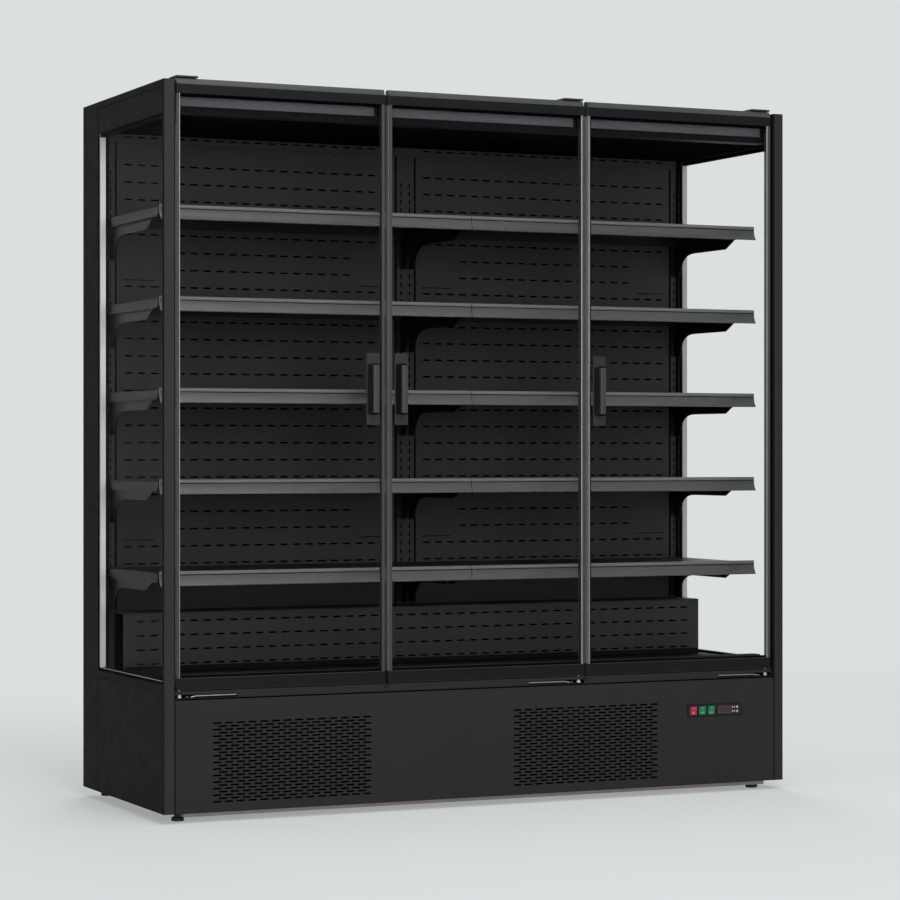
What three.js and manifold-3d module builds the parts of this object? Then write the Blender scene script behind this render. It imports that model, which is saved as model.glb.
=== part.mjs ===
// Multideck display fridge with three hinged glass doors, two shelf bays and its cooling machine in the
// base.
// Millimetres, +Z up. The front faces -Y. The origin is on the floor, under the middle of the whole object.
// Inside the cabinet group, y is the distance behind the front faces of the end posts.

import * as THREE from "three";
import { mergeVertices } from "three/addons/utils/BufferGeometryUtils.js";
import Module from "manifold-3d";

const wasm = await Module();
wasm.setup();

// ---------------------------------------------------------------- driving dimensions

// Cabinet
const WIDTH = 1933;
const BODY_DEPTH = 713;
const PANEL_BOTTOM = 27;
const PANEL_TOP = 2000;
const END_THICK = 33;
const FIT = 0.3;                  // gap between pieces that rest against each other

// End frames and side glass
const FRONT_POST_DEPTH = 13;
const BACK_POST_DEPTH = 141;
const SIDE_GLASS_BOTTOM = 374;
const SIDE_GLASS_TOP = 1908;
const SIDE_GLASS_THICK = 24;
const SIDE_GLASS_INSET = 0.5;     // how far the glass lies behind the outer face of its frame
const GLASS_FIT = 0.4;
const SEAM_WIDTH = 2;
const SEAM_DEPTH = 1.5;
const BASE_SEAM_HEIGHT = 354;
const CAP_SEAM_HEIGHT = 1979;
const POST_CHAMFER = 2;

// Doors
const DOOR_COUNT = 3;
const DOOR_BOTTOM = 358;
const DOOR_HEIGHT = 1647;
const DOOR_THICK = 26;
const DOOR_RECESS = 7;            // door front behind the post fronts
const DOOR_SIDE_GAP = 6.5;
const DOOR_GAP = 13.5;
const DOOR_STILE = 9;
const DOOR_TOP_RAIL = 42;
const DOOR_BOTTOM_RAIL = 33;
const DOOR_TOP_BEVEL = 15;
const DOOR_BEVEL_RUN = 7;
const DOOR_CORNER_CHAMFER = 3;
const DOOR_GLASS_THICK = 20;
const DOOR_GLASS_INSET = 1;
const DOOR_HANDS = [1, -1, -1];   // 1 is hinged at its left edge, -1 at its right edge

// Pull handles
const HANDLE_FROM_EDGE = 36;
const HANDLE_PAD_WIDTH = 40;
const HANDLE_PAD_LENGTH = 199;
const HANDLE_PAD_THICK = 3;
const HANDLE_GRIP_WIDTH = 18;
const HANDLE_GRIP_LENGTH = 133;
const HANDLE_GRIP_THICK = 12;
const HANDLE_LEG_LENGTH = 14;
const HANDLE_STANDOFF = 28;       // grip front before the door front
const HANDLE_HEIGHT = 1173.5;
const HANDLE_GRIP_CORNER = 3;

// Hinges
const PIVOT_INSET = 11;
const PIN_DIAMETER = 8;
const PIN_CLEARANCE = 0.5;
const PIN_ENGAGEMENT = 16;
const PIN_END_SPACE = 3;
const TOP_PLATE_WIDTH = 62;
const TOP_PLATE_THICK = 5;
const TOP_PLATE_EDGE = 11;
const TOP_PLATE_RISE = 2;         // plate above the door top
const TOP_PLATE_FRONT = 10;
const TOP_PLATE_BACK = 72;
const TOP_BLOCK_FRONT = 46;
const BOTTOM_PLATE_WIDTH = 62;
const BOTTOM_PLATE_EDGE = 12;
const BOTTOM_PLATE_THICK = 4;
const BUSH_DIAMETER = 14;
const BUSH_HEIGHT = 9;
const BOLT_DIAMETER = 9;
const BOLT_HEIGHT = 5;
const BOLT_OFFSET = 22;
const ROD_DIAMETER = 4.5;
const ROD_START = 34;
const ROD_BEND = 47;
const ROD_END = 162;
const ROD_STEPS = 8;
const ROD_HEIGHT = 341;
const ROD_SETBACK = 2.6;          // rod centre behind the sill face

// Lintel, roof and rear
const ROOF_THICK = 80;
const ROOF_DROP = 5;              // roof below the top of the end panels
const LINTEL_FRONT = 42;
const LINTEL_BACK = 90;
const CHANNEL_DEPTH = 38;
const CHANNEL_DROP = 38;          // channel below the top of the lintel
const CHANNEL_HEIGHT = 28;
const CHANNEL_DIVIDER = 18;
const CHANNEL_END = 9;
const REAR_THICK = 50;
const REAR_BOTTOM = 31;
const REAR_TOP_GAP = 1;
const VENT_ROWS = 3;
const VENTS_PER_ROW = 4;
const VENT_FIRST = 100;
const VENT_ROW_PITCH = 60;
const VENT_PITCH = 380;
const VENT_LENGTH = 300;
const VENT_HEIGHT = 24;

// Sheet metal of the cold space
const SHEET = 2;
const PLENUM_DEPTH = 80;          // air space behind the back panels
const HEADER_HEIGHT = 28;
const PANEL_GAP = 3;
const UPRIGHT_SIDE_WIDTH = 21.7;
const UPRIGHT_CENTRE_WIDTH = 59.8;
const COLUMN_INSET = 7.9;         // slot column from the outer side of a side upright
const CENTRE_COLUMN = 13.8;       // slot columns either side of the middle
const HOOK_SLOT_WIDTH = 5.4;
const HOOK_SLOT_HEIGHT = 16;
const HOOK_PITCH = 50;
const HOOK_FIRST = 1776;
const HOOK_COUNT = 25;
const AIR_SLOT_HEIGHT = 5;
const AIR_SLOT_LENGTH = 370;
const AIR_SLOT_PITCH = 420;
const AIR_SLOTS_PER_ROW = 2;
const AIR_ROW_FIRST = 1826;
const AIR_ROW_PITCH = 100;
const AIR_ROWS = 12;
const HEADER_SLOT_DROP = 9;
const HEADER_SLOTS = 4;

// Lower duct, deck, grille, tub and sill
const DUCT_DEPTH = 140;
const DUCT_TOP = 543;
const DUCT_SLOT_FIRST = 397;
const DUCT_SLOT_PITCH = 40.3;
const DUCT_ROWS = 4;
const DUCT_SLOTS_PER_ROW = 4;
const DECK_TOP = 378;
const DECK_FRONT = 130;
const DECK_LAP = 6.5;             // deck edge under the side glass
const GRILLE_FRONT = 62.5;
const GRILLE_TOP = 395;
const GRILLE_SLOPE = 11.5;
const GRILLE_BACK_SLOPE = 15;
const GRILLE_SLOTS = 14;
const GRILLE_SLOT_DEPTH = 22;
const GRILLE_SLOT_LENGTH = 80;
const TUB_BOTTOM = 340;
const TUB_TOP = 374;
const TUB_NOSE_TOP = 388;
const TUB_NOSE_BOTTOM = 357;
const TUB_NOSE_DEPTH = 18;
const SILL_FACE = 10;
const SILL_BOTTOM = 334;
const SILL_TOP = 355.5;
const SILL_DEPTH = 50;
const SILL_WINDOW_TOP = 346;
const SILL_WINDOW_EDGE = 14;
const SILL_WINDOW_REACH = 172;

// Lower front panel
const FRONT_PANEL_TOP = 330.5;
const FRONT_PANEL_DEPTH = 22;
const LOUVRE_BOTTOM = 51.5;
const LOUVRE_TOP = 269;
const LOUVRE_LEFT_EDGE = -830;
const LOUVRE_RIGHT_EDGE = 76;
const LOUVRE_FIELD_WIDTH = 471;
const LOUVRE_ROWS = 7;
const LOUVRE_PER_ROW = 3;
const LOUVRE_SLOT_HEIGHT = 12;
const LOUVRE_BAR = 14;

// Controls
const CONTROL_X = 733;
const CONTROL_Z = 243.5;
const CONTROL_WIDTH = 184;
const CONTROL_HEIGHT = 36.5;
const CONTROL_PROUD = 2;
const CONTROL_DEPTH = 14;
const CONTROL_WINDOW_MARGIN = 3;
const ROCKER_PITCH = 30;
const ROCKER_FIRST = -71.5;       // first rocker from the middle of the control plate
const ROCKER_WIDTH = 22;
const ROCKER_HEIGHT = 26;
const ROCKER_DEPTH = 7;
const ROCKER_CROWN = 1.6;
const ROCKER_AXIS_DEPTH = 4;
const ROCKER_TILT = 7;            // degrees either side of the middle
const ROCKER_GAP = 1;
const THERMOSTAT_X = 46.5;
const THERMOSTAT_WIDTH = 82;
const THERMOSTAT_HEIGHT = 28;
const THERMOSTAT_PROUD = 1.2;
const KEY_SIZE = 8;
const KEY_X = 27;                 // keys from the middle of the thermostat
const KEY_OFFSET = 6.5;
const KEY_TRAVEL = 1;
const KEY_PROUD = 1.2;
const KEY_DEPTH = 4;

// Shelves
const SHELF_COUNT = 5;
const SHELF_TOP = 1674;
const SHELF_PITCH = 250;
const SHELF_END_INSET = 29;       // shelf end from the outer face of the cabinet
const SHELF_SEAM = 2;
const SHELF_LIP_TOP = 117;
const SHELF_LIP_BOTTOM = 106.5;
const SHELF_LIP_HEIGHT = 41;
const SHELF_LIP_THICK = 2.6;
const SHELF_RIM = 6;              // lip top above the tray
const SHELF_BACK_GAP = 13;        // tray behind edge in front of the back panels
const FLANGE_HEIGHT = 26;
const FLANGE_FRONT = 130;
const BRACKET_THICK = 3;
const BRACKET_NOSE_TOP = 208;
const BRACKET_NOSE_BOTTOM = 264;
const BRACKET_DROP = 59;
const BRACKET_KNEE_REACH = 125;   // knee and tail in front of the uprights
const BRACKET_TAIL_REACH = 38;
const BRACKET_TAIL_DROP = 126;
const BRACKET_CURVE_STEPS = 4;
const HOOK_LENGTH = 7;
const HOOK_HEIGHT = 9;

// Base
const CHASSIS_TOP = 30;
const CHASSIS_PLATE = 4;
const CHASSIS_FRONT = 24;
const RAIL_BOTTOM = 11;
const RAIL_INSET = 86.5;
const RAIL_WIDTH = 28;
const RAIL_FRONT = 12;
const FOOT_DIAMETER = 35;
const FOOT_PAD = 11;
const FOOT_NECK_DIAMETER = 20;
const FOOT_THREAD_DIAMETER = 10;
const FOOT_THREAD_LENGTH = 30;
const FOOT_INSET = 65;
const FOOT_FRONT = 73;
const FOOT_BACK_INSET = 23;

// Cooling machine
const COMPRESSOR_X = 150;
const COMPRESSOR_Y = 400;
const COMPRESSOR_DIAMETER = 170;
const COMPRESSOR_HEIGHT = 215;
const COMPRESSOR_DOME = 45;
const COMPRESSOR_BASE = 200;
const COMPRESSOR_FOOT = 4;
const COMPRESSOR_TAPER = 0.8;     // bottom radius as a share of the full one
const COMPRESSOR_SHOULDER = 25;
const TERMINAL_WIDTH = 60;
const TERMINAL_INSET = 20;
const TERMINAL_REACH = 22;
const TERMINAL_BOTTOM = 90;
const TERMINAL_TOP = 160;
const CONDENSER_X = -594;
const CONDENSER_WIDTH = 440;
const CONDENSER_BOTTOM = 48;
const CONDENSER_TOP = 290;
const CONDENSER_FRONT = 60;
const CONDENSER_THICK = 60;
const CONDENSER_FINS = 9;
const FAN_DIAMETER = 200;
const FAN_CLEARANCE = 8;
const FAN_HUB = 54;
const FAN_WIDTH = 24;
const FAN_BLADES = 5;
const FAN_BLADE_PITCH = 32;
const FAN_BLADE_CHORD = 38;
const FAN_BLADE_THICK = 3;
const SHROUD_DEPTH = 34;
const MOTOR_DIAMETER = 76;
const MOTOR_LENGTH = 60;
const SHAFT_DIAMETER = 8;
const EVAPORATOR_HALF_LENGTH = 840;
const EVAPORATOR_THICK = 94;
const EVAPORATOR_BACK_GAP = 11;
const EVAPORATOR_TOP = 515;
const EVAPORATOR_PLATE = 4;
const EVAPORATOR_FINS = 12;

// ---------------------------------------------------------------- places worked out from them

const HALF = WIDTH / 2;
const INNER = HALF - END_THICK;
const CLEAR = INNER - FIT;
const DECK_HALF_WIDTH = INNER + DECK_LAP;
const RAIL_HALF_LENGTH = HALF - RAIL_INSET;
const FOOT_X = HALF - FOOT_INSET;
const HANDLE_REACH = HANDLE_STANDOFF - DOOR_RECESS;
const FRONT = HANDLE_REACH - (BODY_DEPTH + HANDLE_REACH) / 2;
const GLASS_BACK = BODY_DEPTH - BACK_POST_DEPTH;
const ROOF_TOP = PANEL_TOP - ROOF_DROP;
const CEILING_HEIGHT = ROOF_TOP - ROOF_THICK;
const CHANNEL_TOP = ROOF_TOP - CHANNEL_DROP;
const CHANNEL_BOTTOM = CHANNEL_TOP - CHANNEL_HEIGHT;
const HEADER_BOTTOM = CEILING_HEIGHT - HEADER_HEIGHT;
const DOOR_WIDTH = (2 * INNER - 2 * DOOR_SIDE_GAP - (DOOR_COUNT - 1) * DOOR_GAP) / DOOR_COUNT;
const DOOR_TOP = DOOR_BOTTOM + DOOR_HEIGHT;
const PIVOT_DEPTH = DOOR_RECESS + DOOR_THICK / 2;
const REAR_FRONT = BODY_DEPTH - REAR_THICK;
const WALL_FRONT = REAR_FRONT - PLENUM_DEPTH;
const DUCT_FRONT = WALL_FRONT - DUCT_DEPTH;
const EVAPORATOR_BACK = WALL_FRONT - EVAPORATOR_BACK_GAP;
const EVAPORATOR_FRONT = EVAPORATOR_BACK - EVAPORATOR_THICK;
const SHELF_BACK = WALL_FRONT - SHELF_BACK_GAP;
const BRACKET_KNEE = WALL_FRONT - BRACKET_KNEE_REACH;
const BRACKET_TAIL_FRONT = WALL_FRONT - BRACKET_TAIL_REACH;
const FOOT_BACK = BODY_DEPTH - FOOT_BACK_INSET;
const SIDE_COLUMN = INNER - COLUMN_INSET;
const BACK_PANEL_OUTER = INNER - UPRIGHT_SIDE_WIDTH - PANEL_GAP;
const BACK_PANEL_INNER = UPRIGHT_CENTRE_WIDTH / 2 + PANEL_GAP;
const HINGE_PLATE_Z = DOOR_TOP + TOP_PLATE_RISE;
const BOTTOM_PLATE_Z = SILL_BOTTOM + SHEET + FIT;

// ---------------------------------------------------------------- finishes

const finish = (color, roughness, metalness, extra = {}) =>
  new THREE.MeshStandardMaterial({ color, roughness, metalness, ...extra });

const BLACK_PAINT = finish(0x232324, 0.5, 0.1);
const BLACK_SHEET = finish(0x1d1d1e, 0.55, 0.1);
const SHELF_PAINT = finish(0x2b2b2c, 0.42, 0.15);
const DOOR_PROFILE = finish(0x2a2b2c, 0.38, 0.5);
const BLACK_PLASTIC = finish(0x161617, 0.4, 0);
const CLEAR_GLASS = finish(0xbfc9c8, 0.05, 0, { transparent: true, opacity: 0.2 });
const STEEL = finish(0xb9bcc0, 0.3, 0.9);
const GALVANISED = finish(0x9a948d, 0.5, 0.8);
const FOAM_PANEL = finish(0x3a3a3b, 0.6, 0);
const COPPER_COIL = finish(0xa9a7a2, 0.45, 0.8);
const MACHINE_BLACK = finish(0x141414, 0.45, 0.2);
const RED_SWITCH = finish(0xa0202a, 0.35, 0);
const GREEN_SWITCH = finish(0x127a43, 0.35, 0);
const THERMOSTAT_CASE = finish(0x1b1a1b, 0.25, 0);
const KEY_GREY = finish(0x8c8c8e, 0.5, 0);
const RUBBER = finish(0x6d6663, 0.6, 0);

// ---------------------------------------------------------------- making and cutting solids

function toSolid(geometry) {
  const bare = geometry.clone();
  bare.deleteAttribute("normal");
  bare.deleteAttribute("uv");
  const merged = mergeVertices(bare, 1e-4);
  return new wasm.Manifold(new wasm.Mesh({
    numProp: 3,
    vertProperties: new Float32Array(merged.attributes.position.array),
    triVerts: new Uint32Array(merged.index.array),
  }));
}

function toGeometry(solid) {
  const mesh = solid.getMesh();
  const geometry = new THREE.BufferGeometry();
  geometry.setAttribute("position", new THREE.BufferAttribute(new Float32Array(mesh.vertProperties), 3));
  geometry.setIndex(new THREE.BufferAttribute(new Uint32Array(mesh.triVerts), 1));
  geometry.computeVertexNormals();
  return geometry;
}

function join(first, ...others) {
  return toGeometry(others.reduce((sum, g) => sum.add(toSolid(g)), toSolid(first)));
}

function cut(body, ...tools) {
  return toGeometry(tools.reduce((left, g) => left.subtract(toSolid(g)), toSolid(body)));
}

// A box between two corners, given as pairs in x, y and z in either order.
function block([xa, xb], [ya, yb], [za, zb]) {
  const geometry = new THREE.BoxGeometry(Math.abs(xb - xa), Math.abs(yb - ya), Math.abs(zb - za));
  return geometry.translate((xa + xb) / 2, (ya + yb) / 2, (za + zb) / 2);
}

// A section drawn in y and z, run along x.
function alongX(outline, [xa, xb], curveSegments = 8) {
  const shape = outline instanceof THREE.Shape ? outline : polygon(outline);
  const length = Math.abs(xb - xa);
  const geometry = new THREE.ExtrudeGeometry(shape, { depth: length, bevelEnabled: false, curveSegments });
  const turn = new THREE.Matrix4().set(0, 0, 1, 0, 1, 0, 0, 0, 0, 1, 0, 0, 0, 0, 0, 1);
  return geometry.applyMatrix4(turn).translate(Math.min(xa, xb), 0, 0);
}

// A section drawn in x and y, run up z.
function alongZ(outline, [za, zb], curveSegments = 8) {
  const shape = outline instanceof THREE.Shape ? outline : polygon(outline);
  const geometry = new THREE.ExtrudeGeometry(shape, { depth: zb - za, bevelEnabled: false, curveSegments });
  return geometry.translate(0, 0, za);
}

function polygon(points) {
  return new THREE.Shape(points.map(([a, b]) => new THREE.Vector2(a, b)));
}

// An upright cylinder standing on za.
function post(x, y, diameter, [za, zb], sides = 16) {
  const geometry = new THREE.CylinderGeometry(diameter / 2, diameter / 2, zb - za, sides);
  return geometry.rotateX(Math.PI / 2).translate(x, y, (za + zb) / 2);
}

// A cylinder lying along y.
function barrel(x, z, diameter, [ya, yb], sides = 24) {
  const geometry = new THREE.CylinderGeometry(diameter / 2, diameter / 2, yb - ya, sides);
  return geometry.translate(x, (ya + yb) / 2, z);
}

// Slots in even rows: boxes through a sheet, centred on the middle of a field.
function slotField({ centre, rows, rowPitch, firstRow, perRow, pitch, length, height, through }) {
  const slots = [];
  for (let row = 0; row < rows; row += 1) {
    const z = firstRow + row * rowPitch;
    for (let n = 0; n < perRow; n += 1) {
      const x = centre + (n - (perRow - 1) / 2) * pitch;
      slots.push(block([x - length / 2, x + length / 2], through, [z - height / 2, z + height / 2]));
    }
  }
  return slots;
}

function part(name, geometry, material) {
  const mesh = new THREE.Mesh(geometry, material);
  mesh.name = name;
  return mesh;
}

// ---------------------------------------------------------------- end frames and side glass

// side is -1 for the left end and 1 for the right end.
function endFrame(side) {
  const outer = side * HALF;
  const inner = side * INNER;
  const slab = block([outer, inner], [0, BODY_DEPTH], [PANEL_BOTTOM, PANEL_TOP]);
  const past = side * (HALF + 1);
  const groove = side * (HALF - SEAM_DEPTH);
  const window = block([past, side * (INNER - 1)], [FRONT_POST_DEPTH, GLASS_BACK],
    [SIDE_GLASS_BOTTOM, SIDE_GLASS_TOP]);
  const seam = (height) => block([past, groove], [FRONT_POST_DEPTH, GLASS_BACK],
    [height, height + SEAM_WIDTH]);
  const upright = (za, zb) => block([past, groove], [GLASS_BACK, GLASS_BACK + SEAM_WIDTH], [za, zb]);
  const corner = alongZ([[side * (HALF - POST_CHAMFER), -1], [past, -1], [past, POST_CHAMFER],
    [outer, POST_CHAMFER], [side * (HALF - POST_CHAMFER), 0]], [PANEL_BOTTOM - 1, PANEL_TOP + 1]);
  return cut(slab, window, seam(BASE_SEAM_HEIGHT), seam(CAP_SEAM_HEIGHT),
    upright(PANEL_BOTTOM - 1, BASE_SEAM_HEIGHT + SEAM_WIDTH),
    upright(SIDE_GLASS_TOP + SEAM_WIDTH, CAP_SEAM_HEIGHT + SEAM_WIDTH), corner);
}

function sideGlass(side) {
  const outer = HALF - SIDE_GLASS_INSET;
  return block([side * outer, side * (outer - SIDE_GLASS_THICK)],
    [FRONT_POST_DEPTH + GLASS_FIT, GLASS_BACK - GLASS_FIT],
    [SIDE_GLASS_BOTTOM + GLASS_FIT, SIDE_GLASS_TOP - GLASS_FIT]);
}

// ---------------------------------------------------------------- roof, lintel and rear

function rearPanel() {
  const panel = block([-CLEAR, CLEAR], [REAR_FRONT, BODY_DEPTH - FIT],
    [REAR_BOTTOM, PANEL_TOP - REAR_TOP_GAP]);
  const vents = slotField({
    centre: 0, rows: VENT_ROWS, rowPitch: VENT_ROW_PITCH, firstRow: VENT_FIRST, perRow: VENTS_PER_ROW,
    pitch: VENT_PITCH, length: VENT_LENGTH, height: VENT_HEIGHT, through: [REAR_FRONT - 1, BODY_DEPTH + 1],
  });
  return cut(panel, ...vents);
}

function roofCanopy() {
  return block([-CLEAR, CLEAR], [LINTEL_BACK + FIT, REAR_FRONT - FIT], [CEILING_HEIGHT, ROOF_TOP]);
}

// Middle of the gap between door n and door n + 1.
function doorJoint(n) {
  return -INNER + DOOR_SIDE_GAP + (n + 1) * DOOR_WIDTH + (n + 0.5) * DOOR_GAP;
}

function doorLintel() {
  const bar = block([-CLEAR, CLEAR], [LINTEL_FRONT, LINTEL_BACK], [CEILING_HEIGHT, ROOF_TOP]);
  const channels = [];
  for (let n = 0; n < DOOR_COUNT; n += 1) {
    const left = n === 0 ? -CLEAR + CHANNEL_END : doorJoint(n - 1) + CHANNEL_DIVIDER / 2;
    const right = n === DOOR_COUNT - 1 ? CLEAR - CHANNEL_END : doorJoint(n) - CHANNEL_DIVIDER / 2;
    channels.push(block([left, right], [LINTEL_FRONT - 1, LINTEL_FRONT + CHANNEL_DEPTH],
      [CHANNEL_BOTTOM, CHANNEL_TOP]));
  }
  return cut(bar, ...channels);
}

// ---------------------------------------------------------------- back wall of the cold space

function backHeader() {
  const strip = block([-CLEAR, CLEAR], [WALL_FRONT, WALL_FRONT + SHEET],
    [HEADER_BOTTOM, CEILING_HEIGHT - FIT]);
  const slots = slotField({
    centre: 0, rows: 1, rowPitch: 0, firstRow: CEILING_HEIGHT - HEADER_SLOT_DROP, perRow: HEADER_SLOTS,
    pitch: AIR_SLOT_PITCH, length: AIR_SLOT_LENGTH, height: AIR_SLOT_HEIGHT,
    through: [WALL_FRONT - 1, WALL_FRONT + SHEET + 1],
  });
  return cut(strip, ...slots);
}

function backPanel(side) {
  const sheet = block([side * BACK_PANEL_INNER, side * BACK_PANEL_OUTER], [WALL_FRONT, WALL_FRONT + SHEET],
    [DUCT_TOP + FIT, HEADER_BOTTOM - FIT]);
  const slots = slotField({
    centre: side * (BACK_PANEL_INNER + BACK_PANEL_OUTER) / 2, rows: AIR_ROWS, rowPitch: -AIR_ROW_PITCH,
    firstRow: AIR_ROW_FIRST, perRow: AIR_SLOTS_PER_ROW, pitch: AIR_SLOT_PITCH, length: AIR_SLOT_LENGTH,
    height: AIR_SLOT_HEIGHT, through: [WALL_FRONT - 1, WALL_FRONT + SHEET + 1],
  });
  return cut(sheet, ...slots);
}

// A channel open to the rear, with a column of hook slots at each x given.
function upright([xa, xb], columns) {
  const outer = block([xa, xb], [WALL_FRONT, REAR_FRONT - FIT], [TUB_TOP + FIT, HEADER_BOTTOM - FIT]);
  const hollow = block([Math.min(xa, xb) + SHEET, Math.max(xa, xb) - SHEET], [WALL_FRONT + SHEET, REAR_FRONT],
    [TUB_TOP, HEADER_BOTTOM]);
  const slots = columns.flatMap((x) => slotField({
    centre: x, rows: HOOK_COUNT, rowPitch: -HOOK_PITCH, firstRow: HOOK_FIRST, perRow: 1, pitch: 0,
    length: HOOK_SLOT_WIDTH, height: HOOK_SLOT_HEIGHT, through: [WALL_FRONT - 1, WALL_FRONT + SHEET + 1],
  }));
  return cut(outer, hollow, ...slots);
}

// ---------------------------------------------------------------- lower duct, deck and return grille

function lowerDuctPanel() {
  const shell = cut(
    block([-CLEAR, CLEAR], [DUCT_FRONT, WALL_FRONT - FIT], [DECK_TOP + FIT, DUCT_TOP]),
    block([-CLEAR + SHEET, CLEAR - SHEET], [DUCT_FRONT + SHEET, WALL_FRONT + 1],
      [DECK_TOP, DUCT_TOP - SHEET]),
  );
  const slots = slotField({
    centre: 0, rows: DUCT_ROWS, rowPitch: DUCT_SLOT_PITCH, firstRow: DUCT_SLOT_FIRST,
    perRow: DUCT_SLOTS_PER_ROW, pitch: AIR_SLOT_PITCH, length: AIR_SLOT_LENGTH, height: AIR_SLOT_HEIGHT,
    through: [DUCT_FRONT - 1, DUCT_FRONT + SHEET + 1],
  });
  return cut(shell, ...slots);
}

function deckTray() {
  const back = DUCT_FRONT - FIT;
  const low = TUB_TOP + FIT;
  return alongX([[DECK_FRONT, low], [DECK_FRONT, DECK_TOP], [back, DECK_TOP], [back, low],
    [back - SHEET, low], [back - SHEET, DECK_TOP - SHEET], [DECK_FRONT + SHEET, DECK_TOP - SHEET],
    [DECK_FRONT + SHEET, low]], [-DECK_HALF_WIDTH, DECK_HALF_WIDTH]);
}

function returnGrille() {
  const low = TUB_TOP + FIT;
  const back = DECK_FRONT - FIT;
  const inner = GRILLE_TOP - SHEET;
  const hump = alongX([[GRILLE_FRONT, low], [GRILLE_FRONT + GRILLE_SLOPE, GRILLE_TOP],
    [back - GRILLE_BACK_SLOPE, GRILLE_TOP], [back, low], [back - 2 * SHEET, low],
    [back - GRILLE_BACK_SLOPE - SHEET, inner], [GRILLE_FRONT + GRILLE_SLOPE + SHEET, inner],
    [GRILLE_FRONT + 2 * SHEET, low]], [-CLEAR, CLEAR]);
  const middle = (GRILLE_FRONT + GRILLE_SLOPE + back - GRILLE_BACK_SLOPE) / 2;
  const pitch = 2 * CLEAR / GRILLE_SLOTS;
  const slots = slotField({
    centre: 0, rows: 1, rowPitch: 0, firstRow: GRILLE_TOP, perRow: GRILLE_SLOTS, pitch,
    length: GRILLE_SLOT_LENGTH, height: 3 * SHEET,
    through: [middle - GRILLE_SLOT_DEPTH / 2, middle + GRILLE_SLOT_DEPTH / 2],
  });
  return cut(hump, ...slots);
}

// Insulated floor of the cold space, with a raised nose that the doors close against.
function tubFloor() {
  const noseFront = SILL_FACE + SILL_DEPTH - TUB_NOSE_DEPTH;
  const sillBack = SILL_FACE + SILL_DEPTH + FIT;
  return alongX([[noseFront, TUB_NOSE_BOTTOM], [noseFront, TUB_NOSE_TOP], [sillBack, TUB_NOSE_TOP],
    [sillBack, TUB_TOP], [REAR_FRONT - FIT, TUB_TOP], [REAR_FRONT - FIT, TUB_BOTTOM], [sillBack, TUB_BOTTOM],
    [sillBack, TUB_NOSE_BOTTOM]], [-CLEAR, CLEAR]);
}

// ---------------------------------------------------------------- doors and hinges

// The pivot of door n, and its hand.
function doorPivot(n) {
  const hand = DOOR_HANDS[n % DOOR_HANDS.length];
  const left = -INNER + DOOR_SIDE_GAP + n * (DOOR_WIDTH + DOOR_GAP);
  const x = hand > 0 ? left + PIVOT_INSET : left + DOOR_WIDTH - PIVOT_INSET;
  return { hand, x };
}

function frontSill() {
  const back = SILL_FACE + SILL_DEPTH;
  const channel = alongX([[SILL_FACE, SILL_BOTTOM], [SILL_FACE, SILL_TOP], [back, SILL_TOP],
    [back, SILL_TOP - SHEET], [SILL_FACE + SHEET, SILL_TOP - SHEET], [SILL_FACE + SHEET, SILL_BOTTOM + SHEET],
    [back, SILL_BOTTOM + SHEET], [back, SILL_BOTTOM]], [-CLEAR, CLEAR]);
  const openings = [];
  for (let n = 0; n < DOOR_COUNT; n += 1) {
    const { hand, x } = doorPivot(n);
    openings.push(block([x - hand * SILL_WINDOW_EDGE, x + hand * SILL_WINDOW_REACH],
      [SILL_FACE - 1, SILL_FACE + SHEET], [SILL_BOTTOM - 1, SILL_WINDOW_TOP]));
    openings.push(post(x, PIVOT_DEPTH, BUSH_DIAMETER + 2 * PIN_CLEARANCE,
      [SILL_TOP - SHEET - 1, SILL_TOP + 1]));
  }
  return cut(channel, ...openings);
}

// The doors are drawn from their pivot: u runs from the hinge edge, y from the pivot, z from the door's foot.
function doorFrame(hand) {
  const u = (distance) => hand * (distance - PIVOT_INSET);
  const face = -DOOR_THICK / 2;
  const back = DOOR_THICK / 2;
  const past = 1;
  const outline = [[u(0), face + DOOR_CORNER_CHAMFER], [u(DOOR_CORNER_CHAMFER), face], [u(DOOR_WIDTH), face],
    [u(DOOR_WIDTH), back], [u(DOOR_CORNER_CHAMFER), back], [u(0), back - DOOR_CORNER_CHAMFER]];
  const slab = alongZ(outline, [0, DOOR_HEIGHT]);
  const window = block([u(DOOR_STILE), u(DOOR_WIDTH - DOOR_STILE)], [face - past, back + past],
    [DOOR_BOTTOM_RAIL, DOOR_HEIGHT - DOOR_TOP_RAIL]);
  const bevel = alongX([[face - past, DOOR_HEIGHT - DOOR_TOP_BEVEL], [face, DOOR_HEIGHT - DOOR_TOP_BEVEL],
    [face + DOOR_BEVEL_RUN, DOOR_HEIGHT], [face + DOOR_BEVEL_RUN, DOOR_HEIGHT + past],
    [face - past, DOOR_HEIGHT + past]], [u(-past), u(DOOR_WIDTH + past)]);
  const bore = PIN_DIAMETER + 2 * PIN_CLEARANCE;
  const depth = PIN_ENGAGEMENT + PIN_END_SPACE;
  const lowerBore = post(0, 0, bore, [-past, depth]);
  const upperBore = post(0, 0, bore, [DOOR_HEIGHT - depth, DOOR_HEIGHT + past]);
  return cut(slab, window, bevel, lowerBore, upperBore);
}

function doorGlass(hand) {
  const u = (distance) => hand * (distance - PIVOT_INSET);
  const face = -DOOR_THICK / 2 + DOOR_GLASS_INSET;
  return block([u(DOOR_STILE + GLASS_FIT), u(DOOR_WIDTH - DOOR_STILE - GLASS_FIT)],
    [face, face + DOOR_GLASS_THICK],
    [DOOR_BOTTOM_RAIL + GLASS_FIT, DOOR_HEIGHT - DOOR_TOP_RAIL - GLASS_FIT]);
}

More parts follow.
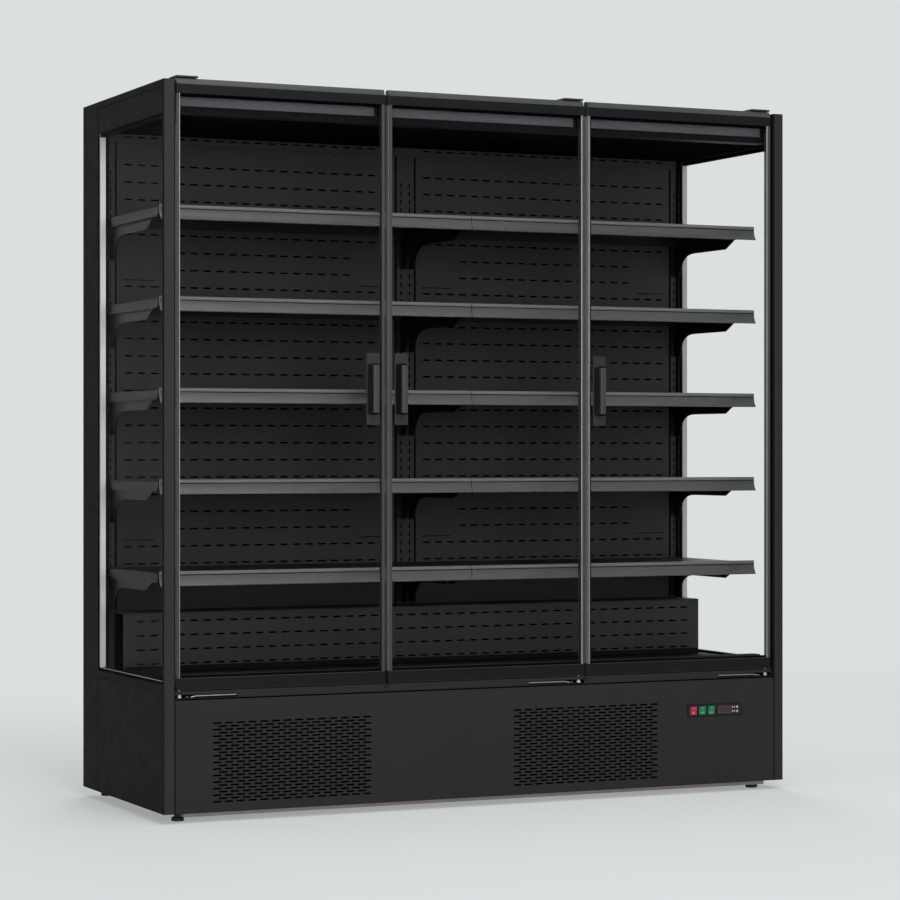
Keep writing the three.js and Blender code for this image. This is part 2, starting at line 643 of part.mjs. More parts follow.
function doorHandle(hand) {
  const x = hand * (DOOR_WIDTH - HANDLE_FROM_EDGE - PIVOT_INSET);
  const middle = HANDLE_HEIGHT - DOOR_BOTTOM;
  const face = -DOOR_THICK / 2;
  const glass = face + DOOR_GLASS_INSET - FIT;
  const tip = face - HANDLE_STANDOFF;
  const gripBack = tip + HANDLE_GRIP_THICK;
  const across = (width) => [x - width / 2, x + width / 2];
  const pad = block(across(HANDLE_PAD_WIDTH), [face - HANDLE_PAD_THICK, glass],
    [middle - HANDLE_PAD_LENGTH / 2, middle + HANDLE_PAD_LENGTH / 2]);
  const half = HANDLE_GRIP_WIDTH / 2;
  const c = HANDLE_GRIP_CORNER;
  const grip = alongZ([[x - half, gripBack], [x - half, tip + c], [x - half + c, tip], [x + half - c, tip],
    [x + half, tip + c], [x + half, gripBack]],
  [middle - HANDLE_GRIP_LENGTH / 2, middle + HANDLE_GRIP_LENGTH / 2]);
  const leg = (end) => block(across(HANDLE_GRIP_WIDTH - 2), [gripBack - 1, face - 1],
    [middle + end * HANDLE_GRIP_LENGTH / 2, middle + end * (HANDLE_GRIP_LENGTH / 2 - HANDLE_LEG_LENGTH)]);
  return join(pad, grip, leg(1), leg(-1));
}

// Plate on the lintel with the pin that reaches down into the door's top rail.
function topHinge(hand, x) {
  const plate = block([x - hand * TOP_PLATE_EDGE, x + hand * (TOP_PLATE_WIDTH - TOP_PLATE_EDGE)],
    [TOP_PLATE_FRONT, TOP_PLATE_BACK], [HINGE_PLATE_Z, HINGE_PLATE_Z + TOP_PLATE_THICK]);
  const foot = block([x - hand * TOP_PLATE_EDGE, x + hand * (TOP_PLATE_WIDTH - TOP_PLATE_EDGE)],
    [TOP_BLOCK_FRONT, TOP_PLATE_BACK], [ROOF_TOP + FIT, HINGE_PLATE_Z + 1]);
  const pin = post(x, PIVOT_DEPTH, PIN_DIAMETER, [DOOR_TOP - PIN_ENGAGEMENT, HINGE_PLATE_Z + 1]);
  return join(plate, foot, pin);
}

// Bracket in the sill channel: pin in its bush, fixing bolt and the closing rod.
function bottomHinge(hand, x) {
  const top = BOTTOM_PLATE_Z + BOTTOM_PLATE_THICK;
  const inside = SILL_FACE + SHEET + FIT;
  const rodY = SILL_FACE + ROD_SETBACK + SHEET;
  const plate = block([x - hand * BOTTOM_PLATE_EDGE, x + hand * (BOTTOM_PLATE_WIDTH - BOTTOM_PLATE_EDGE)],
    [inside, SILL_FACE + SILL_DEPTH - SHEET], [BOTTOM_PLATE_Z, top]);
  const bush = post(x, PIVOT_DEPTH, BUSH_DIAMETER, [top - 1, top + BUSH_HEIGHT]);
  const pin = post(x, PIVOT_DEPTH, PIN_DIAMETER, [top, DOOR_BOTTOM + PIN_ENGAGEMENT]);
  const bolt = post(x + hand * BOLT_OFFSET, PIVOT_DEPTH, BOLT_DIAMETER, [top - 1, top + BOLT_HEIGHT], 6);
  const path = new THREE.CatmullRomCurve3([
    new THREE.Vector3(x + hand * ROD_START, rodY, top - 2),
    new THREE.Vector3(x + hand * ROD_BEND, rodY, ROD_HEIGHT),
    new THREE.Vector3(x + hand * ROD_END, rodY, ROD_HEIGHT),
  ], false, "chordal", 0);
  const section = new THREE.Shape();
  section.absarc(0, 0, ROD_DIAMETER / 2, 0, 2 * Math.PI, false);
  const rod = new THREE.ExtrudeGeometry(section, { steps: ROD_STEPS, extrudePath: path, curveSegments: 3 });
  return join(plate, bush, pin, bolt, rod);
}

// ---------------------------------------------------------------- front panel and controls

function frontPanel() {
  const shell = cut(
    block([-CLEAR, CLEAR], [0, FRONT_PANEL_DEPTH], [PANEL_BOTTOM, FRONT_PANEL_TOP]),
    block([-CLEAR + SHEET, CLEAR - SHEET], [SHEET, FRONT_PANEL_DEPTH + 1],
      [PANEL_BOTTOM + SHEET, FRONT_PANEL_TOP - SHEET]),
  );
  const rowPitch = (LOUVRE_TOP - LOUVRE_BOTTOM - LOUVRE_SLOT_HEIGHT) / (LOUVRE_ROWS - 1);
  const pitch = (LOUVRE_FIELD_WIDTH + LOUVRE_BAR) / LOUVRE_PER_ROW;
  const louvres = [LOUVRE_LEFT_EDGE, LOUVRE_RIGHT_EDGE].flatMap((edge) => slotField({
    centre: edge + LOUVRE_FIELD_WIDTH / 2, rows: LOUVRE_ROWS, rowPitch,
    firstRow: LOUVRE_BOTTOM + LOUVRE_SLOT_HEIGHT / 2, perRow: LOUVRE_PER_ROW, pitch,
    length: pitch - LOUVRE_BAR, height: LOUVRE_SLOT_HEIGHT, through: [-1, SHEET + 1],
  }));
  const halfW = CONTROL_WIDTH / 2 - CONTROL_WINDOW_MARGIN;
  const halfH = CONTROL_HEIGHT / 2 - CONTROL_WINDOW_MARGIN;
  const window = block([CONTROL_X - halfW, CONTROL_X + halfW], [-1, SHEET + 1],
    [CONTROL_Z - halfH, CONTROL_Z + halfH]);
  return cut(shell, ...louvres, window);
}

function rockerX(n) {
  return CONTROL_X + ROCKER_FIRST + n * ROCKER_PITCH;
}

// Plate over the panel's window, with a collar behind it that holds the switches and the thermostat.
function controlPlate() {
  const halfW = CONTROL_WIDTH / 2;
  const halfH = CONTROL_HEIGHT / 2;
  const collarW = halfW - CONTROL_WINDOW_MARGIN - FIT;
  const collarH = halfH - CONTROL_WINDOW_MARGIN - FIT;
  const plate = block([CONTROL_X - halfW, CONTROL_X + halfW], [-CONTROL_PROUD, -FIT],
    [CONTROL_Z - halfH, CONTROL_Z + halfH]);
  const collar = block([CONTROL_X - collarW, CONTROL_X + collarW], [-1, CONTROL_DEPTH],
    [CONTROL_Z - collarH, CONTROL_Z + collarH]);
  const through = [-CONTROL_PROUD - 1, CONTROL_DEPTH + 1];
  const openings = [0, 1, 2].map((n) => block(
    [rockerX(n) - ROCKER_WIDTH / 2 - ROCKER_GAP, rockerX(n) + ROCKER_WIDTH / 2 + ROCKER_GAP], through,
    [CONTROL_Z - ROCKER_HEIGHT / 2 - ROCKER_GAP, CONTROL_Z + ROCKER_HEIGHT / 2 + ROCKER_GAP],
  ));
  const bayX = CONTROL_X + THERMOSTAT_X;
  const bayHalfW = THERMOSTAT_WIDTH / 2 + FIT;
  const bayHalfH = THERMOSTAT_HEIGHT / 2 + FIT;
  const bay = block([bayX - bayHalfW, bayX + bayHalfW], through,
    [CONTROL_Z - bayHalfH, CONTROL_Z + bayHalfH]);
  return cut(join(plate, collar), ...openings, bay);
}

// Switch paddle, drawn about its own axis.
function rocker() {
  const half = ROCKER_HEIGHT / 2;
  const shape = new THREE.Shape();
  shape.moveTo(-ROCKER_DEPTH + ROCKER_CROWN, 0);
  shape.lineTo(-ROCKER_DEPTH, half - 1);
  shape.lineTo(-ROCKER_DEPTH + 1, half);
  shape.lineTo(-1, half - 1);
  shape.lineTo(ROCKER_CROWN, 0);
  shape.lineTo(-1, -half + 1);
  shape.lineTo(-ROCKER_DEPTH + 1, -half);
  shape.lineTo(-ROCKER_DEPTH, -half + 1);
  return alongX(shape, [-ROCKER_WIDTH / 2, ROCKER_WIDTH / 2]);
}

function keyPlace(sign) {
  return { x: CONTROL_X + THERMOSTAT_X + KEY_X, z: CONTROL_Z + sign * KEY_OFFSET };
}

function thermostat() {
  const face = -CONTROL_PROUD - THERMOSTAT_PROUD;
  const body = block(
    [CONTROL_X + THERMOSTAT_X - THERMOSTAT_WIDTH / 2, CONTROL_X + THERMOSTAT_X + THERMOSTAT_WIDTH / 2],
    [face, CONTROL_DEPTH - 1],
    [CONTROL_Z - THERMOSTAT_HEIGHT / 2, CONTROL_Z + THERMOSTAT_HEIGHT / 2],
  );
  const half = KEY_SIZE / 2 + FIT;
  const wells = [1, -1].map((sign) => {
    const { x, z } = keyPlace(sign);
    return block([x - half, x + half], [face - 1, face + KEY_DEPTH + KEY_TRAVEL + FIT], [z - half, z + half]);
  });
  return cut(body, ...wells);
}

function key(sign) {
  const { x, z } = keyPlace(sign);
  const face = -CONTROL_PROUD - THERMOSTAT_PROUD;
  return block([x - KEY_SIZE / 2, x + KEY_SIZE / 2], [face - KEY_PROUD, face + KEY_DEPTH],
    [z - KEY_SIZE / 2, z + KEY_SIZE / 2]);
}

// ---------------------------------------------------------------- shelves

// Heights are measured from the top of the ticket lip.
function shelfTray([xa, xb]) {
  const under = -SHELF_RIM - SHEET;
  const section = [[SHELF_LIP_TOP, 0], [SHELF_LIP_BOTTOM, -SHELF_LIP_HEIGHT],
    [SHELF_LIP_BOTTOM + SHELF_LIP_THICK, -SHELF_LIP_HEIGHT], [SHELF_LIP_TOP + SHEET, under],
    [SHELF_BACK - SHEET, under], [SHELF_BACK - SHEET, -SHELF_RIM - FLANGE_HEIGHT],
    [SHELF_BACK, -SHELF_RIM - FLANGE_HEIGHT], [SHELF_BACK, -SHELF_RIM],
    [SHELF_LIP_TOP + 2 * SHEET, -SHELF_RIM], [SHELF_LIP_TOP + SHELF_LIP_THICK, 0]];
  const flange = (x, inward) => block([x, x + inward * SHEET], [FLANGE_FRONT, SHELF_BACK],
    [-SHELF_RIM - FLANGE_HEIGHT, -SHELF_RIM - SHEET / 2]);
  return [alongX(section, [xa, xb]), flange(xa, 1), flange(xb, -1)];
}

function shelfBracket(x, hookHeights) {
  const back = WALL_FRONT - FIT;
  const top = -SHELF_RIM - SHEET / 2;
  const shape = new THREE.Shape();
  shape.moveTo(BRACKET_NOSE_TOP, top);
  shape.lineTo(BRACKET_NOSE_TOP, -SHELF_RIM - FLANGE_HEIGHT);
  shape.lineTo(BRACKET_NOSE_BOTTOM, -BRACKET_DROP);
  shape.lineTo(BRACKET_KNEE, -BRACKET_DROP);
  shape.quadraticCurveTo(BRACKET_TAIL_FRONT - HOOK_LENGTH, -BRACKET_DROP,
    BRACKET_TAIL_FRONT, -BRACKET_TAIL_DROP);
  shape.lineTo(back, -BRACKET_TAIL_DROP);
  shape.lineTo(back, top);
  const across = [x - BRACKET_THICK / 2, x + BRACKET_THICK / 2];
  const hooks = hookHeights.map((z) => block(across, [back - 1, WALL_FRONT + HOOK_LENGTH],
    [z - HOOK_HEIGHT / 2, z + HOOK_HEIGHT / 2]));
  return [alongX(shape, across, BRACKET_CURVE_STEPS), ...hooks];
}

// Slot heights that a bracket spans, from the lip top of its shelf.
function hookHeightsOf(lipTop) {
  const heights = [];
  for (let n = 0; n < HOOK_COUNT; n += 1) {
    const z = HOOK_FIRST - n * HOOK_PITCH - lipTop;
    if (z + HOOK_HEIGHT < -SHELF_RIM - FLANGE_HEIGHT && z - HOOK_HEIGHT > -BRACKET_TAIL_DROP) {
      heights.push(z);
    }
  }
  return heights;
}

function shelf(side, lipTop) {
  const ends = [side * SHELF_SEAM / 2, side * (HALF - SHELF_END_INSET)].sort((a, b) => a - b);
  const hooks = hookHeightsOf(lipTop);
  return join(...shelfTray(ends), ...shelfBracket(side * CENTRE_COLUMN, hooks),
    ...shelfBracket(side * SIDE_COLUMN, hooks));
}

// ---------------------------------------------------------------- base and cooling machine

function baseChassis() {
  const plate = block([-CLEAR, CLEAR], [CHASSIS_FRONT, BODY_DEPTH - FIT],
    [CHASSIS_TOP - CHASSIS_PLATE, CHASSIS_TOP]);
  const top = PANEL_BOTTOM - FIT;
  const back = FOOT_BACK - FOOT_DIAMETER;
  const frontRail = block([-RAIL_HALF_LENGTH, RAIL_HALF_LENGTH], [RAIL_FRONT, RAIL_FRONT + RAIL_WIDTH],
    [RAIL_BOTTOM, top]);
  const rearRail = block([-RAIL_HALF_LENGTH, RAIL_HALF_LENGTH], [back - RAIL_WIDTH, back],
    [RAIL_BOTTOM, top]);
  const sideRail = (side) => block([side * RAIL_HALF_LENGTH, side * (RAIL_HALF_LENGTH - RAIL_WIDTH)],
    [RAIL_FRONT + 1, back - 1], [RAIL_BOTTOM, top]);
  const bore = FOOT_THREAD_DIAMETER + 2 * PIN_CLEARANCE;
  const holes = [-FOOT_X, FOOT_X].flatMap((x) => [FOOT_FRONT, FOOT_BACK].map(
    (y) => post(x, y, bore, [CHASSIS_TOP - CHASSIS_PLATE - 1, CHASSIS_TOP + 1]),
  ));
  return cut(join(plate, frontRail, rearRail, sideRail(-1), sideRail(1)), ...holes);
}

// Foot about its own axis, from the floor up.
function foot() {
  const neckTop = CHASSIS_TOP - CHASSIS_PLATE - FIT;
  const r = FOOT_DIAMETER / 2;
  const neck = FOOT_NECK_DIAMETER / 2;
  const thread = FOOT_THREAD_DIAMETER / 2;
  const profile = [[0, 0], [r - 1.5, 0], [r, 1.5], [r, FOOT_PAD - 3], [r - 3, FOOT_PAD], [neck, FOOT_PAD],
    [neck, neckTop], [thread, neckTop], [thread, FOOT_THREAD_LENGTH], [0, FOOT_THREAD_LENGTH]];
  return new THREE.LatheGeometry(profile.map(([a, b]) => new THREE.Vector2(a, b)), 18).rotateX(Math.PI / 2);
}

function compressor() {
  const r = COMPRESSOR_DIAMETER / 2;
  const low = CHASSIS_TOP + FIT;
  const top = low + COMPRESSOR_HEIGHT;
  const profile = [[0, low + COMPRESSOR_FOOT / 2], [r * COMPRESSOR_TAPER, low + COMPRESSOR_FOOT / 2],
    [r, low + COMPRESSOR_SHOULDER]];
  for (let n = 0; n <= 5; n += 1) {
    const angle = n * Math.PI / 10;
    profile.push([r * Math.cos(angle), top - COMPRESSOR_DOME + COMPRESSOR_DOME * Math.sin(angle)]);
  }
  profile[profile.length - 1][0] = 0;
  const shell = new THREE.LatheGeometry(profile.map(([a, b]) => new THREE.Vector2(a, b)), 20)
    .rotateX(Math.PI / 2).translate(COMPRESSOR_X, COMPRESSOR_Y, 0);
  const half = COMPRESSOR_BASE / 2;
  const base = block([COMPRESSOR_X - half, COMPRESSOR_X + half], [COMPRESSOR_Y - half, COMPRESSOR_Y + half],
    [low, low + COMPRESSOR_FOOT]);
  const box = block([COMPRESSOR_X + r - TERMINAL_INSET, COMPRESSOR_X + r + TERMINAL_REACH],
    [COMPRESSOR_Y - TERMINAL_WIDTH / 2, COMPRESSOR_Y + TERMINAL_WIDTH / 2],
    [low + TERMINAL_BOTTOM, low + TERMINAL_TOP]);
  return join(shell, base, box);
}

const CONDENSER_Z = (CONDENSER_BOTTOM + CONDENSER_TOP) / 2;
const SHROUD_BACK = CONDENSER_FRONT + CONDENSER_THICK + SHROUD_DEPTH;
const FAN_FRONT = SHROUD_BACK - FAN_WIDTH;
const MOTOR_FRONT = SHROUD_BACK + FAN_CLEARANCE;

// Finned coil with its fan shroud, and the fan motor on a strut across the shroud.
function condenserCoil() {
  const half = CONDENSER_WIDTH / 2;
  const across = [CONDENSER_X - half, CONDENSER_X + half];
  const coilBack = CONDENSER_FRONT + CONDENSER_THICK;
  const core = block(across, [CONDENSER_FRONT + 6, coilBack - 6], [CONDENSER_BOTTOM, CONDENSER_TOP]);
  const fins = [];
  for (let n = 0; n < CONDENSER_FINS; n += 1) {
    const x = across[0] + 10 + n * (CONDENSER_WIDTH - 20) / (CONDENSER_FINS - 1);
    fins.push(block([x - 2, x + 2], [CONDENSER_FRONT, coilBack], [CONDENSER_BOTTOM + 2, CONDENSER_TOP - 2]));
  }
  const legs = [-1, 1].map((side) => block([CONDENSER_X + side * half, CONDENSER_X + side * (half - 20)],
    [CONDENSER_FRONT + 10, coilBack - 10], [CHASSIS_TOP + FIT, CONDENSER_BOTTOM + 1]));
  const shroud = cut(
    block(across, [coilBack - 8, SHROUD_BACK], [CONDENSER_BOTTOM, CONDENSER_TOP]),
    barrel(CONDENSER_X, CONDENSER_Z, FAN_DIAMETER + 2 * FAN_CLEARANCE, [coilBack + 1, SHROUD_BACK + 1], 32),
  );
  const motor = barrel(CONDENSER_X, CONDENSER_Z, MOTOR_DIAMETER, [MOTOR_FRONT, MOTOR_FRONT + MOTOR_LENGTH]);
  const shaft = barrel(CONDENSER_X, CONDENSER_Z, SHAFT_DIAMETER, [FAN_FRONT + 4, MOTOR_FRONT + 1], 12);
  const reach = FAN_DIAMETER / 2 + FAN_CLEARANCE + 8;
  const strut = block([CONDENSER_X - reach, CONDENSER_X + reach], [MOTOR_FRONT + 10, MOTOR_FRONT + 16],
    [CONDENSER_Z - 12, CONDENSER_Z + 12]);
  const arms = [-1, 1].map((side) => block([CONDENSER_X + side * reach, CONDENSER_X + side * (reach - 6)],
    [SHROUD_BACK - 1, MOTOR_FRONT + 16], [CONDENSER_Z - 12, CONDENSER_Z + 12]));
  return join(core, ...fins, ...legs, shroud, motor, shaft, strut, ...arms);
}

// Fan about its own axis, which lies along y.
function condenserFan() {
  const hub = cut(barrel(0, 0, FAN_HUB, [-FAN_WIDTH / 2, FAN_WIDTH / 2 - 2]),
    barrel(0, 0, SHAFT_DIAMETER + 2 * PIN_CLEARANCE, [-FAN_WIDTH / 2 + 2, FAN_WIDTH / 2 + 1], 12));
  const blades = [];
  const span = FAN_DIAMETER / 2 - FAN_HUB / 2 + 4;
  for (let n = 0; n < FAN_BLADES; n += 1) {
    const blade = new THREE.BoxGeometry(span, FAN_BLADE_THICK, FAN_BLADE_CHORD);
    blade.rotateX(FAN_BLADE_PITCH * Math.PI / 180).translate(FAN_HUB / 2 - 4 + span / 2, -1, 0);
    blade.rotateY(n * 2 * Math.PI / FAN_BLADES);
    blades.push(blade);
  }
  return join(hub, ...blades);
}

function evaporatorCoil() {
  const low = TUB_TOP + FIT;
  const core = block([-EVAPORATOR_HALF_LENGTH, EVAPORATOR_HALF_LENGTH],
    [EVAPORATOR_FRONT + 8, EVAPORATOR_BACK - 8], [low + 8, EVAPORATOR_TOP - 8]);
  const plates = [];
  for (let n = 0; n < EVAPORATOR_FINS; n += 1) {
    const x = -EVAPORATOR_HALF_LENGTH + n * 2 * EVAPORATOR_HALF_LENGTH / (EVAPORATOR_FINS - 1);
    plates.push(block([x - EVAPORATOR_PLATE, x + EVAPORATOR_PLATE], [EVAPORATOR_FRONT, EVAPORATOR_BACK],
      [low, EVAPORATOR_TOP]));
  }
  return join(core, ...plates);
}

// ---------------------------------------------------------------- assembly

const fridge = new THREE.Group();
const cabinet = new THREE.Group();
cabinet.position.set(0, FRONT, 0);
fridge.add(cabinet);

for (const [side, label] of [[-1, "left"], [1, "right"]]) {
  cabinet.add(part(`${label}_end_frame`, endFrame(side), BLACK_PAINT));
  cabinet.add(part(`${label}_side_glass`, sideGlass(side), CLEAR_GLASS));
  cabinet.add(part(`back_panel_${label}`, backPanel(side), BLACK_SHEET));
  cabinet.add(part(`upright_${label}`,
    upright([side * CLEAR, side * (INNER - UPRIGHT_SIDE_WIDTH)], [side * SIDE_COLUMN]), BLACK_SHEET));
}
cabinet.add(
  part("upright_centre", upright([-UPRIGHT_CENTRE_WIDTH / 2, UPRIGHT_CENTRE_WIDTH / 2],
    [-CENTRE_COLUMN, CENTRE_COLUMN]), BLACK_SHEET),
  part("rear_panel", rearPanel(), FOAM_PANEL),
  part("roof_canopy", roofCanopy(), BLACK_PAINT),
  part("door_lintel", doorLintel(), BLACK_PAINT),
  part("back_header", backHeader(), BLACK_SHEET),
  part("lower_duct_panel", lowerDuctPanel(), BLACK_SHEET),
  part("deck_tray", deckTray(), BLACK_SHEET),
  part("return_grille", returnGrille(), BLACK_SHEET),
  part("tub_floor", tubFloor(), FOAM_PANEL),
  part("front_sill", frontSill(), BLACK_PAINT),
  part("front_panel", frontPanel(), BLACK_PAINT),
  part("base_chassis", baseChassis(), GALVANISED),
  part("control_plate", controlPlate(), BLACK_PLASTIC),
  part("thermostat", thermostat(), THERMOSTAT_CASE),
  part("thermostat_key_up", key(1), KEY_GREY),
  part("thermostat_key_down", key(-1), KEY_GREY),
  part("compressor", compressor(), MACHINE_BLACK),
  part("condenser_coil", condenserCoil(), COPPER_COIL),
  part("evaporator_coil", evaporatorCoil(), COPPER_COIL),
);

const fan = part("condenser_fan", condenserFan(), BLACK_PLASTIC);
fan.position.set(CONDENSER_X, FAN_FRONT + FAN_WIDTH / 2, CONDENSER_Z);
cabinet.add(fan);

for (let level = 0; level < SHELF_COUNT; level += 1) {
  const lipTop = SHELF_TOP - level * SHELF_PITCH;
  for (const [side, label] of [[-1, "left"], [1, "right"]]) {
    const tray = part(`shelf_${level + 1}_${label}`, shelf(side, lipTop), SHELF_PAINT);
    tray.position.z = lipTop;
    cabinet.add(tray);
  }
}

for (let n = 0; n < DOOR_COUNT; n += 1) {
  const { hand, x } = doorPivot(n);
  const door = new THREE.Group();
  door.position.set(x, PIVOT_DEPTH, DOOR_BOTTOM);
  door.add(
    part(`door_${n + 1}_frame`, doorFrame(hand), DOOR_PROFILE),
    part(`door_${n + 1}_glass`, doorGlass(hand), CLEAR_GLASS),
    part(`door_${n + 1}_handle`, doorHandle(hand), BLACK_PLASTIC),
  );
  cabinet.add(
    door,
    part(`top_hinge_${n + 1}`, topHinge(hand, x), BLACK_PAINT),
    part(`bottom_hinge_${n + 1}`, bottomHinge(hand, x), STEEL),
  );
}

const SWITCHES = [
  ["red_rocker", RED_SWITCH],
  ["green_rocker_1", GREEN_SWITCH],
  ["green_rocker_2", GREEN_SWITCH],
];
SWITCHES.forEach(([name, material], n) => {
  const paddle = part(name, rocker(), material);
  paddle.position.set(rockerX(n), ROCKER_AXIS_DEPTH, CONTROL_Z);
  paddle.rotation.x = THREE.MathUtils.degToRad(ROCKER_TILT);
  cabinet.add(paddle);
});

for (const [y, row] of [[FOOT_FRONT, "front"], [FOOT_BACK, "rear"]]) {
  for (const [side, label] of [[-1, "left"], [1, "right"]]) {
    const pad = part(`foot_${row}_${label}`, foot(), RUBBER);
    pad.position.set(side * FOOT_X, y, 0);
    cabinet.add(pad);
  }
}

export default fridge;
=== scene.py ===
"""Multideck display fridge with three hinged glass doors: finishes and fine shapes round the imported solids.

Sizes are millimetres in the cabinet's own frame: x to the right, d back from the faces of the front posts,
z up from the floor. A Shape turns them into metres when its mesh is made.
"""
import logging
import math
from dataclasses import dataclass
from enum import Enum
from functools import cache
from typing import Iterable, Sequence

import bmesh
import bpy
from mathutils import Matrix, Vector
from mathutils.geometry import delaunay_2d_cdt


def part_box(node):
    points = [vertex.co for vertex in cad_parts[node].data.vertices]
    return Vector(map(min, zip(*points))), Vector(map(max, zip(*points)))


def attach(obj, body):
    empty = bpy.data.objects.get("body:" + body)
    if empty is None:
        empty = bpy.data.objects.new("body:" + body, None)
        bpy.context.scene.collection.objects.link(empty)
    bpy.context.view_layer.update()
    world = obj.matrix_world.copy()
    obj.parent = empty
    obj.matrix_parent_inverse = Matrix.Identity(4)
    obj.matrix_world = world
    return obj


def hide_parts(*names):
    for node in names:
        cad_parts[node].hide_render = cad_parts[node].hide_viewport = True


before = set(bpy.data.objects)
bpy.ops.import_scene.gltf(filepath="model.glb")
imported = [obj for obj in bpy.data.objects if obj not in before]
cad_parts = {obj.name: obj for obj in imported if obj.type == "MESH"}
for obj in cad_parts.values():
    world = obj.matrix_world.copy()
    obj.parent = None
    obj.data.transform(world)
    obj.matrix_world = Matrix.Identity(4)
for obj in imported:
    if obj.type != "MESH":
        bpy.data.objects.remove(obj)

log = logging.getLogger("fridge")

Pair = tuple[float, float]
Point = tuple[float, float, float]
Socket = bpy.types.NodeSocket

MM = 0.001
CABINET = "cabinet"
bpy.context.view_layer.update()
POST_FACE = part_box("left_end_frame")[0].y / MM
SHARP_ANGLE = math.radians(32)
ROUNDED_ANGLE = math.radians(35)
FLAT_ANGLE = math.radians(1)
WELD_DISTANCE = 0.01
LAID = 0.05  # how far a thin piece stands off the face that it lies on
GAP = 0.1  # clearance between two parts of one piece
FIT = 0.3  # clearance between neighbours
INSET = 1  # how far a cover or a lining stays inside the edges round it


# ---------------------------------------------------------------- places in the frame


@dataclass(frozen=True)
class Extent:
    """The space that a CAD node takes up, in millimetres."""

    x0: float
    x1: float
    d0: float
    d1: float
    z0: float
    z1: float

    @classmethod
    def of(cls, node: str) -> "Extent":
        """Reads the space of a node from the frame.

        Args:
            node: Name of the CAD node.

        Returns:
            Its extent in the cabinet's frame.
        """
        low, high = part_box(node)
        return cls(low.x / MM, high.x / MM, low.y / MM - POST_FACE, high.y / MM - POST_FACE,
                   low.z / MM, high.z / MM)

    @property
    def x(self) -> float:
        """Middle of the node from left to right."""
        return (self.x0 + self.x1) / 2

    @property
    def d(self) -> float:
        """Middle of the node from front to back."""
        return (self.d0 + self.d1) / 2

    @property
    def z(self) -> float:
        """Middle of the node's height."""
        return (self.z0 + self.z1) / 2


class Axis(Enum):
    """The direction in which a section is drawn out."""

    X = "x"
    DEPTH = "depth"
    HEIGHT = "height"

    def place(self, across: Pair, along: float) -> Point:
        """Puts a point of a section into the cabinet's frame.

        Args:
            across: The point's place in the section: (d, z), (x, z) or (x, d).
            along: Its place on this axis.

        Returns:
            The point as (x, d, z).
        """
        a, b = across
        if self is Axis.X:
            return (along, a, b)
        if self is Axis.DEPTH:
            return (a, along, b)
        return (a, b, along)


class Slot(Enum):
    """Names of the record's material slots, passed along with the scene's own pieces."""

    BLACK_PAINT = "black_paint"
    BLACK_SHEET = "black_sheet"
    SHELF_PAINT = "shelf_paint"
    DOOR_PROFILE = "door_profile"
    BLACK_PLASTIC = "black_plastic"
    CLEAR_GLASS = "clear_glass"
    STEEL = "steel"
    GALVANISED = "galvanised"
    FOAM_PANEL = "foam_panel"
    THERMOSTAT_CASE = "thermostat_case"
    KEY_GREY = "key_grey"
    RUBBER = "rubber"


# ---------------------------------------------------------------- finishes


def linear(code: str) -> tuple[float, float, float, float]:
    """Turns a colour written as six hex digits into linear light.

    Args:
        code: The colour, such as "2a2b2c".

    Returns:
        Red, green, blue and alpha.
    """
    parts = [int(code[i:i + 2], 16) / 255 for i in (0, 2, 4)]
    red, green, blue = (p / 12.92 if p <= 0.04045 else ((p + 0.055) / 1.055) ** 2.4 for p in parts)
    return (red, green, blue, 1.0)


def combine(tree: bpy.types.NodeTree, operation: str, *values: Socket | float,
            clamp: bool = False) -> Socket:
    """Adds a node that works out a number.

    Args:
        tree: Where the node goes.
        operation: What it does.
        values: What it works on, as sockets or numbers.
        clamp: Whether the result stays between 0 and 1.

    Returns:
        The result.
    """
    node = tree.nodes.new("ShaderNodeMath")
    node.operation = operation
    node.use_clamp = clamp
    for socket, value in zip(node.inputs, values):
        if isinstance(value, float):
            socket.default_value = value
        else:
            tree.links.new(value, socket)
    return node.outputs["Value"]


